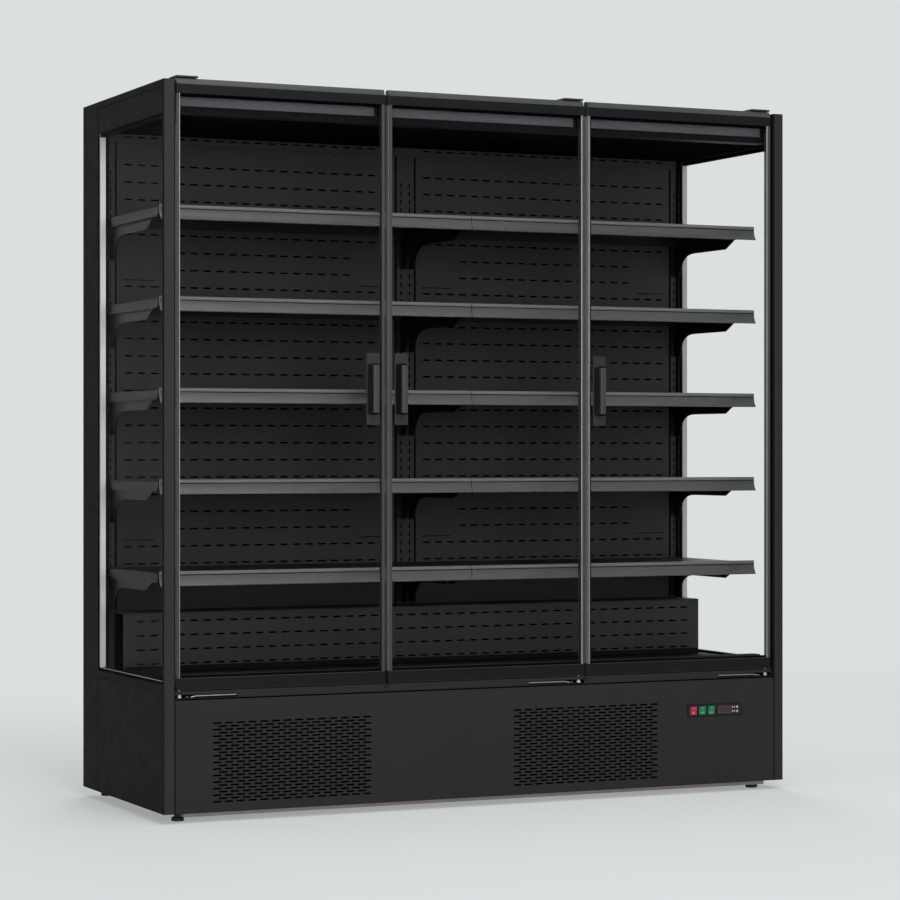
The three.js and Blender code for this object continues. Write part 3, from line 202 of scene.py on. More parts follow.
class Shader:
    """Wires the nodes of one material."""

    def __init__(self, name: str) -> None:
        """Starts a material with a Principled surface and the piece's own coordinates.

        Args:
            name: The material's name.
        """
        self.material = bpy.data.materials.new(name)
        self.material.use_nodes = True
        self.tree = self.material.node_tree
        self.nodes, self.links = self.tree.nodes, self.tree.links
        self.surface = self.nodes["Principled BSDF"]
        self.place = self.nodes.new("ShaderNodeTexCoord").outputs["Object"]

    def set(self, **values: object) -> None:
        """Sets sockets of the surface; an underscore stands for a space in a socket's name."""
        for name, value in values.items():
            self.surface.inputs[name.replace("_", " ")].default_value = value

    def feed(self, socket: Socket, name: str) -> None:
        """Links a socket to one of the surface's inputs."""
        self.links.new(socket, self.surface.inputs[name])

    def noise(self, size: float, detail: float = 2.0, stretch: Point = (1.0, 1.0, 1.0)) -> Socket:
        """Adds noise.

        Args:
            size: Width of its spots in millimetres.
            detail: Octaves of finer noise in it.
            stretch: How many times longer the spots are along x, y and z.

        Returns:
            The noise value, mostly from 0.3 to 0.7.
        """
        mapping = self.nodes.new("ShaderNodeMapping")
        mapping.inputs["Scale"].default_value = [1 / s for s in stretch]
        self.links.new(self.place, mapping.inputs["Vector"])
        texture = self.nodes.new("ShaderNodeTexNoise")
        texture.inputs["Scale"].default_value = 1 / (size * MM)
        texture.inputs["Detail"].default_value = detail
        self.links.new(mapping.outputs["Vector"], texture.inputs["Vector"])
        return texture.outputs["Fac"]

    def spread(self, value: Socket, low: float, high: float) -> Socket:
        """Stretches noise over a range.

        Args:
            value: The noise.
            low: What its dark spots become.
            high: What its light spots become.

        Returns:
            The stretched value.
        """
        node = self.nodes.new("ShaderNodeMapRange")
        node.inputs["From Min"].default_value = 0.3
        node.inputs["From Max"].default_value = 0.7
        node.inputs["To Min"].default_value = low
        node.inputs["To Max"].default_value = high
        self.links.new(value, node.inputs["Value"])
        return node.outputs["Result"]

    def tint(self, value: Socket, colour: Sequence[float], share: float) -> Socket:
        """Varies a colour with noise.

        Args:
            value: The noise.
            colour: The middle colour.
            share: How far it goes darker and lighter.

        Returns:
            The varied colour.
        """
        node = self.nodes.new("ShaderNodeMix")
        node.data_type = "RGBA"
        for socket in (s for s in node.inputs if s.type == "RGBA"):
            factor = 1 - share if socket.name == "A" else 1 + share
            socket.default_value = [c * factor for c in colour[:3]] + [1.0]
        self.links.new(self.spread(value, 0.0, 1.0), node.inputs[0])
        return next(s for s in node.outputs if s.type == "RGBA")

    def relief(self, *heights: tuple[Socket, float]) -> None:
        """Gives the surface a relief.

        Args:
            heights: Pairs of a noise and its depth in millimetres, the coarsest first.
        """
        normal = None
        for value, depth in heights:
            node = self.nodes.new("ShaderNodeBump")
            node.inputs["Distance"].default_value = depth * MM
            self.links.new(value, node.inputs["Height"])
            if normal is not None:
                self.links.new(normal, node.inputs["Normal"])
            normal = node.outputs["Normal"]
        self.feed(normal, "Normal")


@dataclass(frozen=True)
class Finish:
    """A surface that pieces share."""

    name: str
    colour: str

    @cache
    def material(self) -> bpy.types.Material:
        """The finish as a material, made once."""
        return self.make(Shader(self.name)).material

    def make(self, shader: Shader) -> Shader:
        """Wires the finish's nodes; each kind of finish has its own."""
        raise NotImplementedError


@dataclass(frozen=True)
class Coating(Finish):
    """Powder coat, moulded plastic or rubber: a fine skin with a slow drift of tone and gloss."""

    roughness: float = 0.45
    specular: float = 0.5
    skin: float = 1.1
    skin_depth: float = 0.02
    drift: float = 0.04
    cloud: float = 170.0
    rub: float = 38.0
    sway: float = 0.05

    def make(self, shader: Shader) -> Shader:
        """Wires the coating.

        Args:
            shader: The material to wire.

        Returns:
            The same shader.
        """
        shader.set(Specular_IOR_Level=self.specular)
        cloud = shader.noise(self.cloud, 3.0)
        grain = shader.noise(self.skin, 2.0)
        shader.feed(shader.tint(cloud, linear(self.colour), self.drift), "Base Color")
        rubbed = shader.noise(self.rub, 4.0)
        shader.feed(shader.spread(rubbed, self.roughness * 0.92, self.roughness * 1.08), "Roughness")
        shader.relief((cloud, self.sway), (grain, self.skin_depth))
        return shader


@dataclass(frozen=True)
class Brushed(Finish):
    """Bare or anodised metal with the streaks of its rolling or brushing."""

    roughness: float = 0.3
    metallic: float = 1.0
    streak: float = 0.6
    stretch: Point = (60.0, 1.0, 1.0)
    drift: float = 0.08
    cloud: float = 90.0
    streak_depth: float = 0.01

    def make(self, shader: Shader) -> Shader:
        """Wires the metal.

        Args:
            shader: The material to wire.

        Returns:
            The same shader.
        """
        shader.set(Metallic=self.metallic)
        streaks = shader.noise(self.streak, 3.0, self.stretch)
        cloud = shader.noise(self.cloud, 3.0)
        shader.feed(shader.tint(cloud, linear(self.colour), self.drift), "Base Color")
        shader.feed(shader.spread(streaks, self.roughness * 0.8, self.roughness * 1.25), "Roughness")
        shader.relief((streaks, self.streak_depth))
        return shader


@dataclass(frozen=True)
class Spangled(Finish):
    """Galvanised sheet: dull crystals of zinc, each with its own tone."""

    roughness: float = 0.45
    metallic: float = 0.85
    drift: float = 0.05
    crystal: float = 9.0
    skin: float = 1.6
    skin_depth: float = 0.02

    def make(self, shader: Shader) -> Shader:
        """Wires the zinc.

        Args:
            shader: The material to wire.

        Returns:
            The same shader.
        """
        shader.set(Metallic=self.metallic)
        cells = shader.nodes.new("ShaderNodeTexVoronoi")
        cells.inputs["Scale"].default_value = 1 / (self.crystal * MM)
        shader.links.new(shader.place, cells.inputs["Vector"])
        grey = shader.nodes.new("ShaderNodeSeparateColor")
        shader.links.new(cells.outputs["Color"], grey.inputs["Color"])
        shader.feed(shader.tint(grey.outputs["Red"], linear(self.colour), self.drift), "Base Color")
        shader.feed(shader.spread(grey.outputs["Green"], self.roughness * 0.85, self.roughness * 1.15),
                    "Roughness")
        shader.relief((shader.noise(self.skin), self.skin_depth))
        return shader


@dataclass(frozen=True)
class Glazing(Finish):
    """Clear pane: almost nothing seen straight through, more shine towards grazing."""

    shine: float = 0.05
    veil: float = 0.0001
    fall: float = 8.0
    ripple: float = 260.0
    ripple_depth: float = 0.05
    polish: Pair = (0.015, 0.035)

    def make(self, shader: Shader) -> Shader:
        """Wires the pane.

        Args:
            shader: The material to wire.

        Returns:
            The same shader.
        """
        shader.set(Base_Color=linear(self.colour), Metallic=1.0)
        ripple = shader.noise(self.ripple, 2.0)
        shader.feed(shader.spread(ripple, *self.polish), "Roughness")
        shader.relief((ripple, self.ripple_depth))
        slant = shader.nodes.new("ShaderNodeLayerWeight")
        slant.inputs["Blend"].default_value = 0.5
        steep = combine(shader.tree, "POWER", slant.outputs["Facing"], self.fall)
        shader.feed(combine(shader.tree, "MULTIPLY_ADD", steep, self.shine, self.veil, clamp=True), "Alpha")
        return shader


BLACK_COAT = Coating("black_powder_coat", "262627", roughness=0.5, specular=0.12)
# Lighter copy of the black coat, on the left post cover only: painted light on the better lit left post.
LIT_POST_COAT = Coating("post_coat_painted_light", "2b2b2c", roughness=0.5, specular=0.12)
# Darker, duller copy of the black coat for the end frames: painted shade on the cabinet's ends.
SHADED_SIDE_COAT = Coating("side_coat_painted_shade", "161617", roughness=0.6, specular=0.04)
# Black sheet coat lifted lighter than the outer black coat: painted light in the dimly lit interior.
LIT_INNER_COAT = Coating("inner_coat_painted_light", "3a3a3b", roughness=0.5, specular=0.14)
# Darkened copy of the black coat for the return grille: painted shade behind the doors' bottom rails.
SHADED_GRILLE_COAT = Coating("grille_coat_painted_shade", "222223", roughness=0.6, specular=0.02)
DECK_COAT = Coating("deck_powder_coat", "1a1a1b", roughness=0.5, specular=0.02)
# Near-black felt; also painted shade where pieces in it stand for shade: sheets behind slots, strips beside
# stiles and under top rails, blocks at grip ends.
BLACK_FELT_AND_SHADE = Coating("black_felt_and_painted_shade", "050505", roughness=0.9, specular=0.0, skin=1.5, skin_depth=0.05)
# Near-black copy of the black coat for the ceiling lining: painted shade under the roof.
SHADED_CEILING_COAT = Coating("ceiling_painted_shade", "111112", roughness=0.6, specular=0.0)
# Darker copy of the black coat for the lintel's lip: painted shade on the lip.
SHADED_LIP_COAT = Coating("lintel_lip_painted_shade", "151516", roughness=0.5, specular=0.02)
SHELF_COAT = Coating("shelf_powder_coat", "202021", roughness=0.45, specular=0.2)
TICKET_STRIP = Coating("ticket_strip_grey", "3d3e40", roughness=0.33, skin=2.5, skin_depth=0.008)
STRIP_BEAD = Coating("ticket_strip_bead", "5a5b5d", roughness=0.3, skin=2.5, skin_depth=0.008)
# Pale grey for the ticket strips' end caps: painted highlight on their ends.
LIT_STRIP_END = Coating("ticket_strip_end_painted_highlight", "7b7d7f", roughness=0.4, specular=0.4)
RAIL_COAT = Coating("door_rail_coat", "101112", roughness=0.4, specular=0.12, skin=0.7)
STILE = Coating("painted_profile", "3a3b3c", roughness=0.38, specular=0.25, skin=0.7)
# Light and dimmer grey for the strips on the doors' left sides: painted light in the shaded gaps beside the
# doors.
LIT_PROFILE_SIDE = Coating("side_profile_painted_light", "98999b", roughness=0.4, specular=0.3, skin=0.7)
DIMMER_LIT_PROFILE_SIDE = Coating("dim_side_painted_light", "686a6c", roughness=0.4, specular=0.3, skin=0.7)
# Bright metal for the beads on the stiles: painted highlight along their inner edges.
HIGHLIGHT_BEAD = Brushed("bead_painted_highlight", "838587", roughness=0.3, metallic=0.8, stretch=(1.0, 1.0, 70.0))
SPACER_BLACK = Coating("black_spacer", "060606", roughness=0.7, specular=0.02)
SPACER_BRIGHT = Brushed("aluminium_spacer", "e3e4e4", roughness=0.4, metallic=0.4, stretch=(1.0, 1.0, 50.0))
GASKET = Coating("grey_gasket", "3a3b3c", roughness=0.6, specular=0.2, skin=3.0, skin_depth=0.05)
HANDLE_PLASTIC = Coating("handle_plastic", "262627", roughness=0.42, specular=0.25, skin=0.8,
                         skin_depth=0.03)
GRIP_PLASTIC = Coating("grip_plastic", "353536", roughness=0.4, specular=0.3, skin=0.8, skin_depth=0.03)
BLACK_PLASTIC = Coating("black_plastic", "0f0f10", roughness=0.45, specular=0.2, skin=0.8, skin_depth=0.03)
LAMP_COVER = Coating("lamp_cover", "54555a", roughness=0.45, specular=0.3, skin=4.0)
INSULATED = Coating("coated_insulation", "242425", roughness=0.55, specular=0.1)
STEEL = Brushed("zinc_plated_steel", "c6c8ca", roughness=0.36, metallic=0.7)
GALVANISED = Spangled("galvanised_sheet", "7e7775")
COIL_FIN = Brushed("coil_fin", "8c8a86", roughness=0.42, stretch=(1.0, 1.0, 40.0))
MACHINE_BLACK = Coating("machine_black", "0d0d0d", roughness=0.5, specular=0.15)
RED_GLOSS = Coating("red_rocker_gloss", "9b1a36", roughness=0.28, skin=2.0, skin_depth=0.01)
GREEN_GLOSS = Coating("green_rocker_gloss", "0f6b40", roughness=0.28, skin=2.0, skin_depth=0.01)
PALE_MARK = Coating("pale_mark", "c9cbc9", roughness=0.4)
CASE_GLOSS = Coating("thermostat_gloss", "171617", roughness=0.25, specular=0.3, skin=2.0, skin_depth=0.008)
DISPLAY = Coating("display_red_tint", "331316", roughness=0.12, skin=6.0, skin_depth=0.004)
KEY_GREY = Coating("key_grey", "5f5f61", roughness=0.45)
FOOT_PLASTIC = Coating("foot_plastic", "3e3c3b", roughness=0.55, specular=0.3)
GLASS = Glazing("clear_glass", "f2f6f5")


# ---------------------------------------------------------------- making meshes


def rounded(points: Sequence[Pair], radius: float, steps: int = 3) -> list[Pair]:
    """Rounds the inner corners of an open line.

    Args:
        points: The line's corners.
        radius: Bend radius.
        steps: Straight pieces in each bend.

    Returns:
        The line with each corner drawn as an arc.
    """
    line = [points[0]]
    for before, corner, after in zip(points, points[1:], points[2:]):
        here = Vector(corner)
        back = (Vector(before) - here).normalized()
        on = (Vector(after) - here).normalized()
        half = math.acos(max(-1.0, min(1.0, back.dot(on)))) / 2
        reach = radius / math.tan(half)
        centre = here + (back + on).normalized() * (radius / math.sin(half))
        start = here + back * reach - centre
        end = here + on * reach - centre
        for n in range(steps + 1):
            spoke = start.slerp(end, n / steps) if n not in (0, steps) else (end if n else start)
            line.append(tuple(centre + spoke))
    line.append(points[-1])
    return line


@dataclass(frozen=True)
class Hole:
    """An opening in a folded sheet: a slot with round ends, a round hole or a square window."""

    at: Pair
    along: float
    across: float
    run: float
    square: bool = False
    steps: int = 3

    def outline(self, u: float) -> list[Pair]:
        """Draws the opening on the flat sheet.

        Args:
            u: Where the sheet's unfolded width has the opening's middle.

        Returns:
            The corners of the opening.
        """
        a, b = self.across / 2, self.run / 2
        if self.square:
            return [(u + i * a, self.along + j * b) for i, j in ((-1, -1), (1, -1), (1, 1), (-1, 1))]
        r = min(a, b)
        corners = []
        for end in (1, -1):
            for n in range(self.steps + 1):
                angle = math.pi * n / self.steps - (math.pi / 2 if a > b else 0)
                shift = (end * (a - r), 0.0) if a > b else (0.0, end * (b - r))
                corners.append((u + shift[0] + end * r * math.cos(angle),
                                self.along + shift[1] + end * r * math.sin(angle)))
        return corners


def rectangle(low: Pair, high: Pair, corner: float = 0.0, steps: int = 3) -> list[Pair]:
    """Draws a rectangle, with round corners where a radius is given.

    Args:
        low: Its lowest corner.
        high: Its highest corner.
        corner: Radius of its corners.
        steps: Straight pieces in each of them.

    Returns:
        The corners, anticlockwise.
    """
    if not corner:
        return [low, (high[0], low[1]), high, (low[0], high[1])]
    centres = [(high[0] - corner, low[1] + corner, -90), (high[0] - corner, high[1] - corner, 0),
               (low[0] + corner, high[1] - corner, 90), (low[0] + corner, low[1] + corner, 180)]
    outline = []
    for a, b, start in centres:
        for n in range(steps + 1):
            turn = math.radians(start + 90 * n / steps)
            outline.append((a + corner * math.cos(turn), b + corner * math.sin(turn)))
    return outline


def circle(centre: Pair, radius: float, steps: int = 16) -> list[Pair]:
    """Draws a circle.

    Args:
        centre: Its middle.
        radius: Its radius.
        steps: Straight pieces in it.

    Returns:
        The corners, anticlockwise.
    """
    turns = [2 * math.pi * n / steps for n in range(steps)]
    return [(centre[0] + radius * math.cos(t), centre[1] + radius * math.sin(t)) for t in turns]


class Shape:
    """Points and faces of one piece, gathered in millimetres."""

    def __init__(self) -> None:
        """Starts empty."""
        self.points: list[Point] = []
        self.faces: list[tuple[tuple[int, ...], int]] = []
        self.closed = True

    def add(self, points: Iterable[Point], faces: Iterable[Sequence[int]], zone: int = 0) -> "Shape":
        """Adds faces between new points.

        Args:
            points: The new points.
            faces: Faces as places in the list of new points.
            zone: Which of the piece's finishes they take.

        Returns:
            This shape.
        """
        first = len(self.points)
        self.points += points
        self.faces += [(tuple(first + i for i in face), zone) for face in faces]
        return self

    def box(self, low: Point, high: Point, zone: int = 0) -> "Shape":
        """Adds a box between two corners."""
        outline = [(low[0], low[1]), (high[0], low[1]), (high[0], high[1]), (low[0], high[1])]
        return self.prism(outline, Axis.HEIGHT, low[2], high[2], zone)

    def prism(self, outline: Sequence[Pair], axis: Axis, start: float, end: float, zone: int = 0) -> "Shape":
        """Draws a closed outline out along an axis.

        Args:
            outline: The section's corners.
            axis: Direction of the prism.
            start: Where it begins.
            end: Where it ends.
            zone: Which finish it takes.

        Returns:
            This shape.
        """
        n = len(outline)
        points = [axis.place(p, start) for p in outline] + [axis.place(p, end) for p in outline]
        walls = [(i, (i + 1) % n, n + (i + 1) % n, n + i) for i in range(n)]
        return self.add(points, [tuple(range(n)), tuple(range(2 * n - 1, n - 1, -1)), *walls], zone)

    def plate(self, outline: Sequence[Pair], openings: Sequence[Sequence[Pair]], axis: Axis,
              start: float, end: float, zone: int = 0) -> "Shape":
        """Draws an outline with openings out along an axis.

        Args:
            outline: The plate's corners.
            openings: The corners of each opening.
            axis: Direction of its thickness.
            start: One face.
            end: The other face.
            zone: Which finish it takes.

        Returns:
            This shape.
        """
        flat, triangles = cut_flat([outline], openings)
        n = len(flat)
        points = [axis.place(p, start) for p in flat] + [axis.place(p, end) for p in flat]
        edges: dict[tuple[int, int], int] = {}
        for t in triangles:
            for a, b in zip(t, t[1:] + t[:1]):
                edges[(a, b)] = edges.get((a, b), 0) + 1
        rim = [(a, b) for a, b in edges if (b, a) not in edges]
        faces = [tuple(t) for t in triangles] + [tuple(n + i for i in reversed(t)) for t in triangles]
        return self.add(points, faces + [(b, a, n + a, n + b) for a, b in rim], zone)

    def rod(self, path: Sequence[Point], radius: float, sides: int = 10, zone: int = 0) -> "Shape":
        """Runs a round bar along a path.

        Args:
            path: Points of its centre line.
            radius: Half its thickness.
            sides: Faces round it.
            zone: Which finish it takes.

        Returns:
            This shape.
        """
        line = [Vector(p) for p in path]
        first = (line[1] - line[0]).normalized()
        across = first.orthogonal().normalized()
        points: list[Point] = []
        for i, here in enumerate(line):
            ahead = (line[min(i + 1, len(line) - 1)] - here).normalized()
            behind = (here - line[max(i - 1, 0)]).normalized()
            way = (ahead + behind).normalized()
            across = (across - way * across.dot(way)).normalized()
            over = way.cross(across)
            spread = 1 / max(0.5, way.dot(behind if i else ahead))
            for k in range(sides):
                angle = 2 * math.pi * k / sides
                spoke = across * math.cos(angle) + over * math.sin(angle)
                points.append(tuple(here + radius * spoke * spread))
        faces = [tuple(range(sides)), tuple(range(len(points) - 1, len(points) - 1 - sides, -1))]
        for i in range(len(line) - 1):
            for k in range(sides):
                a, b = i * sides + k, i * sides + (k + 1) % sides
                faces.append((a, b, b + sides, a + sides))
        return self.add(points, faces, zone)

    def spin(self, profile: Sequence[Pair], centre: Point, axis: Axis, steps: int = 24,
             zone: int = 0) -> "Shape":
        """Turns a profile round an axis.

        Args:
            profile: Pairs of radius and place on the axis; the radius is 0 at both ends.
            centre: A point on the axis, from which places are counted.
            axis: Direction of the axis.
            steps: Faces round it.
            zone: Which finish it takes.

        Returns:
            This shape.
        """
        points: list[Point] = []
        rings: list[list[int]] = []
        for radius, along in profile:
            count = 1 if radius < 1e-6 else steps
            rings.append(list(range(len(points), len(points) + count)))
            for k in range(count):
                angle = 2 * math.pi * k / steps
                turned = axis.place((radius * math.cos(angle), radius * math.sin(angle)), along)
                points.append(tuple(c + t for c, t in zip(centre, turned)))
        faces = []
        for low, high in zip(rings, rings[1:]):
            for k in range(steps):
                corners = [low[k % len(low)], low[(k + 1) % len(low)], high[(k + 1) % len(high)],
                           high[k % len(high)]]
                faces.append(tuple(dict.fromkeys(corners)))
        return self.add(points, faces, zone)

    def sheet(self, fold: Sequence[Pair], axis: Axis, start: float, end: float,
              holes: Sequence[Hole] = (), zone: int = 0) -> "Shape":
        """Folds a flat sheet along a line and leaves its holes open.

        Args:
            fold: The outer face's line in the section, in order.
            axis: Direction in which the line is drawn out.
            start: One end of the sheet.
            end: Its other end.
            holes: Openings in it.
            zone: Which finish it takes.

        Returns:
            This shape, which is now an open skin that wants a thickness.
        """
        stations = [0.0]
        for a, b in zip(fold, fold[1:]):
            stations.append(stations[-1] + math.dist(a, b))
        strips = [[(u, start), (v, start), (v, end), (u, end)] for u, v in zip(stations, stations[1:])]
        flat, triangles = cut_flat(strips, [h.outline(unfold(fold, stations, h.at)) for h in holes])
        points = [axis.place(refold(fold, stations, u), v) for u, v in flat]
        self.closed = False
        return self.add(points, triangles, zone)

    def build(self, name: str, body: str, slot: Slot, *finishes: Finish, replaces: Sequence[str] = (),
              thickness: float = 0.0, bevel: float = 0.0) -> bpy.types.Object:
        """Makes the piece and gives it to its body.

        Args:
            name: The piece's name.
            body: The body that it moves with.
            slot: The record's material slot; not used.
            finishes: A finish for each zone.
            replaces: CAD nodes that it stands for.
            thickness: Thickness of a sheet, behind its outer face.
            bevel: Width of its rounded edges.

        Returns:
            The finished piece.
        """
        mesh = bpy.data.meshes.new(name)
        metres = [(x * MM, (d + POST_FACE) * MM, z * MM) for x, d, z in self.points]
        mesh.from_pydata(metres, [], [face for face, _ in self.faces])
        for polygon, (_, zone) in zip(mesh.polygons, self.faces):
            polygon.material_index = zone
        if self.closed:
            work = bmesh.new()
            work.from_mesh(mesh)
            bmesh.ops.recalc_face_normals(work, faces=work.faces)
            work.to_mesh(mesh)
            work.free()
        for finish in finishes:
            mesh.materials.append(finish.material())
        if self.closed:
            mesh.shade_smooth()
            mesh.set_sharp_from_angle(angle=SHARP_ANGLE)
        piece = bpy.data.objects.new(name, mesh)
        bpy.context.scene.collection.objects.link(piece)
        if thickness:
            solid = piece.modifiers.new("thickness", "SOLIDIFY")
            solid.thickness = thickness * MM
            solid.offset = -1
            solid.use_even_offset = True
            solid.use_quality_normals = True
        if bevel:
            soften(piece, bevel)
        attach(piece, body)
        if replaces:
            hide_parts(*replaces)
        log.info("%s: %d faces on %s", name, len(mesh.polygons), body)
        return piece


def unfold(fold: Sequence[Pair], stations: Sequence[float], at: Pair) -> float:
    """Finds a point of a folded line on its unfolded length.

    Args:
        fold: The line's corners.
        stations: Length of the line up to each corner.
        at: The point.

    Returns:
        Its place on the unfolded length.
    """
    best = (math.inf, 0.0)
    for a, b, u, v in zip(fold, fold[1:], stations, stations[1:]):
        way = Vector(b) - Vector(a)
        share = max(0.0, min(1.0, (Vector(at) - Vector(a)).dot(way) / way.length_squared))
        best = min(best, ((Vector(a) + way * share - Vector(at)).length, u + share * (v - u)))
    return best[1]


def refold(fold: Sequence[Pair], stations: Sequence[float], u: float) -> Pair:
    """Finds the point of a folded line at a place on its unfolded length.

    Args:
        fold: The line's corners.
        stations: Length of the line up to each corner.
        u: The place.

    Returns:
        The point.
    """
    i = max(0, min(len(fold) - 2, sum(1 for s in stations if s < u - 1e-4) - 1))
    share = (u - stations[i]) / (stations[i + 1] - stations[i])
    return tuple(p + (q - p) * share for p, q in zip(fold[i], fold[i + 1]))


def cut_flat(areas: Sequence[Sequence[Pair]], openings: Sequence[Sequence[Pair]]
             ) -> tuple[list[Pair], list[list[int]]]:
    """Fills areas with triangles, round their openings.

    Args:
        areas: Corners of each area; neighbours share their corners.
        openings: Corners of each opening.

    Returns:
        The points, and the triangles between them, each anticlockwise.
    """
    corners: list[Vector] = []
    outlines: list[list[int]] = []
    for outline in [*areas, *openings]:
        outlines.append(list(range(len(corners), len(corners) + len(outline))))
        corners += [Vector(p) for p in outline]
    points, _, triangles, _, _, sources = delaunay_2d_cdt(corners, [], outlines, 1, 1e-4)
    kept = [list(t) for t, source in zip(triangles, sources) if source and max(source) < len(areas)]
    return [tuple(p) for p in points], kept


def soften(piece: bpy.types.Object, width: float, segments: int = 2) -> None:
    """Rounds a piece's sharp edges.

    Args:
        piece: The piece.
        width: Width of the rounding in millimetres.
        segments: Faces across it.
    """
    edge = piece.modifiers.new("rounding", "BEVEL")
    edge.width = width * MM
    edge.segments = segments
    edge.limit_method = "ANGLE"
    edge.angle_limit = ROUNDED_ANGLE
    edge.harden_normals = True


def dress(node: str, finish: Finish, edge: float = 0.0) -> None:
    """Gives a CAD node its finish and, where its faces allow it, rounded edges.

    Args:
        node: Name of the node.
        finish: Its finish.
        edge: Width of the rounding in millimetres.
    """
    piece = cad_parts[node]
    for holder in piece.material_slots:
        holder.material = finish.material()
    if edge:
        weld = piece.modifiers.new("weld", "WELD")
        weld.merge_threshold = WELD_DISTANCE * MM
        flat = piece.modifiers.new("flat_faces", "DECIMATE")
        flat.decimate_type = "DISSOLVE"
        flat.angle_limit = FLAT_ANGLE
        soften(piece, edge)
        piece.modifiers["rounding"].harden_normals = False
    log.info("%s: CAD solid in %s", node, finish.name)


# ---------------------------------------------------------------- ends


@dataclass
class EndPanel:
    """One end of the cabinet: the painted frame and its double-glazed side window."""

    label: str
    pane: float = 4.0
    spacer: float = 9.0
    bright_spacer: float = 7.0
    lip: Pair = (2.0, 0.8)
    bead: float = 10.1
    post_cover: float = 0.8
    post_outer: float = 1.4
    post_inner: float = 3.8
    post_bevel: float = 0.3
    bead_inset: float = 0.5
    edge: float = 1.2

    def build(self) -> None:
        """Makes the window and dresses the frame."""
        # The end frame takes the darker copy of the black coat: painted shade on the side.
        dress(f"{self.label}_end_frame", SHADED_SIDE_COAT, self.edge)
        case = Extent.of(f"{self.label}_end_frame")
        left = self.label == "left"
        insets = (self.post_outer, self.post_inner) if left else (self.post_inner, self.post_outer)
        post = Shape().box((case.x0 + insets[0], case.d0 - self.post_cover, case.z0 + INSET),
                           (case.x1 - insets[1], case.d0 - LAID, case.z1 - INSET))
        # The left post cover takes a lighter coat than the right one: painted light on the left post.
        coat = LIT_POST_COAT if left else BLACK_COAT
        post.build(f"{self.label}_post_cover", CABINET, Slot.BLACK_PAINT, coat, bevel=self.post_bevel)
        node = f"{self.label}_side_glass"
        box = Extent.of(node)
        glass = Shape()
        for x in (box.x0, box.x1 - self.pane):
            glass.box((x, box.d0, box.z0), (x + self.pane, box.d1, box.z1))
        glass.build(f"{self.label}_side_panes", CABINET, Slot.CLEAR_GLASS, GLASS, replaces=[node])
        low, high = box.x0 + self.pane + GAP, box.x1 - self.pane - GAP
        bars = Shape()
        front, back = box.d0 + self.spacer, box.d1 - self.bright_spacer
        shelf = box.z0 + self.spacer - self.lip[1]
        rim = (low, low + self.lip[0]) if left else (high - self.lip[0], high)
        bars.box((low, box.d0, box.z0), (high, front, box.z1), 0)
        bars.box((low, back, box.z0 + self.spacer), (high, box.d1, box.z1), 1)
        bars.box((low, front, box.z0), (high, box.d1, shelf - LAID), 0)
        bars.box((rim[0], front, shelf), (rim[1], back, shelf + self.lip[1]), 1)
        bars.box((low, front, box.z1 - self.spacer), (high, back, box.z1), 0)
        bars.build(f"{self.label}_side_spacer", CABINET, Slot.STEEL, SPACER_BLACK, SPACER_BRIGHT)
        near, far = (box.x1, case.x1) if left else (case.x0, box.x0)
        bead = Shape().box((near + FIT, box.d0 + self.bead_inset, box.z0 + INSET),
                           (far - FIT, box.d0 + self.bead, box.z1 - INSET))
        bead.build(f"{self.label}_glazing_bead", CABINET, Slot.BLACK_PLASTIC, BLACK_FELT_AND_SHADE)


# ---------------------------------------------------------------- shell


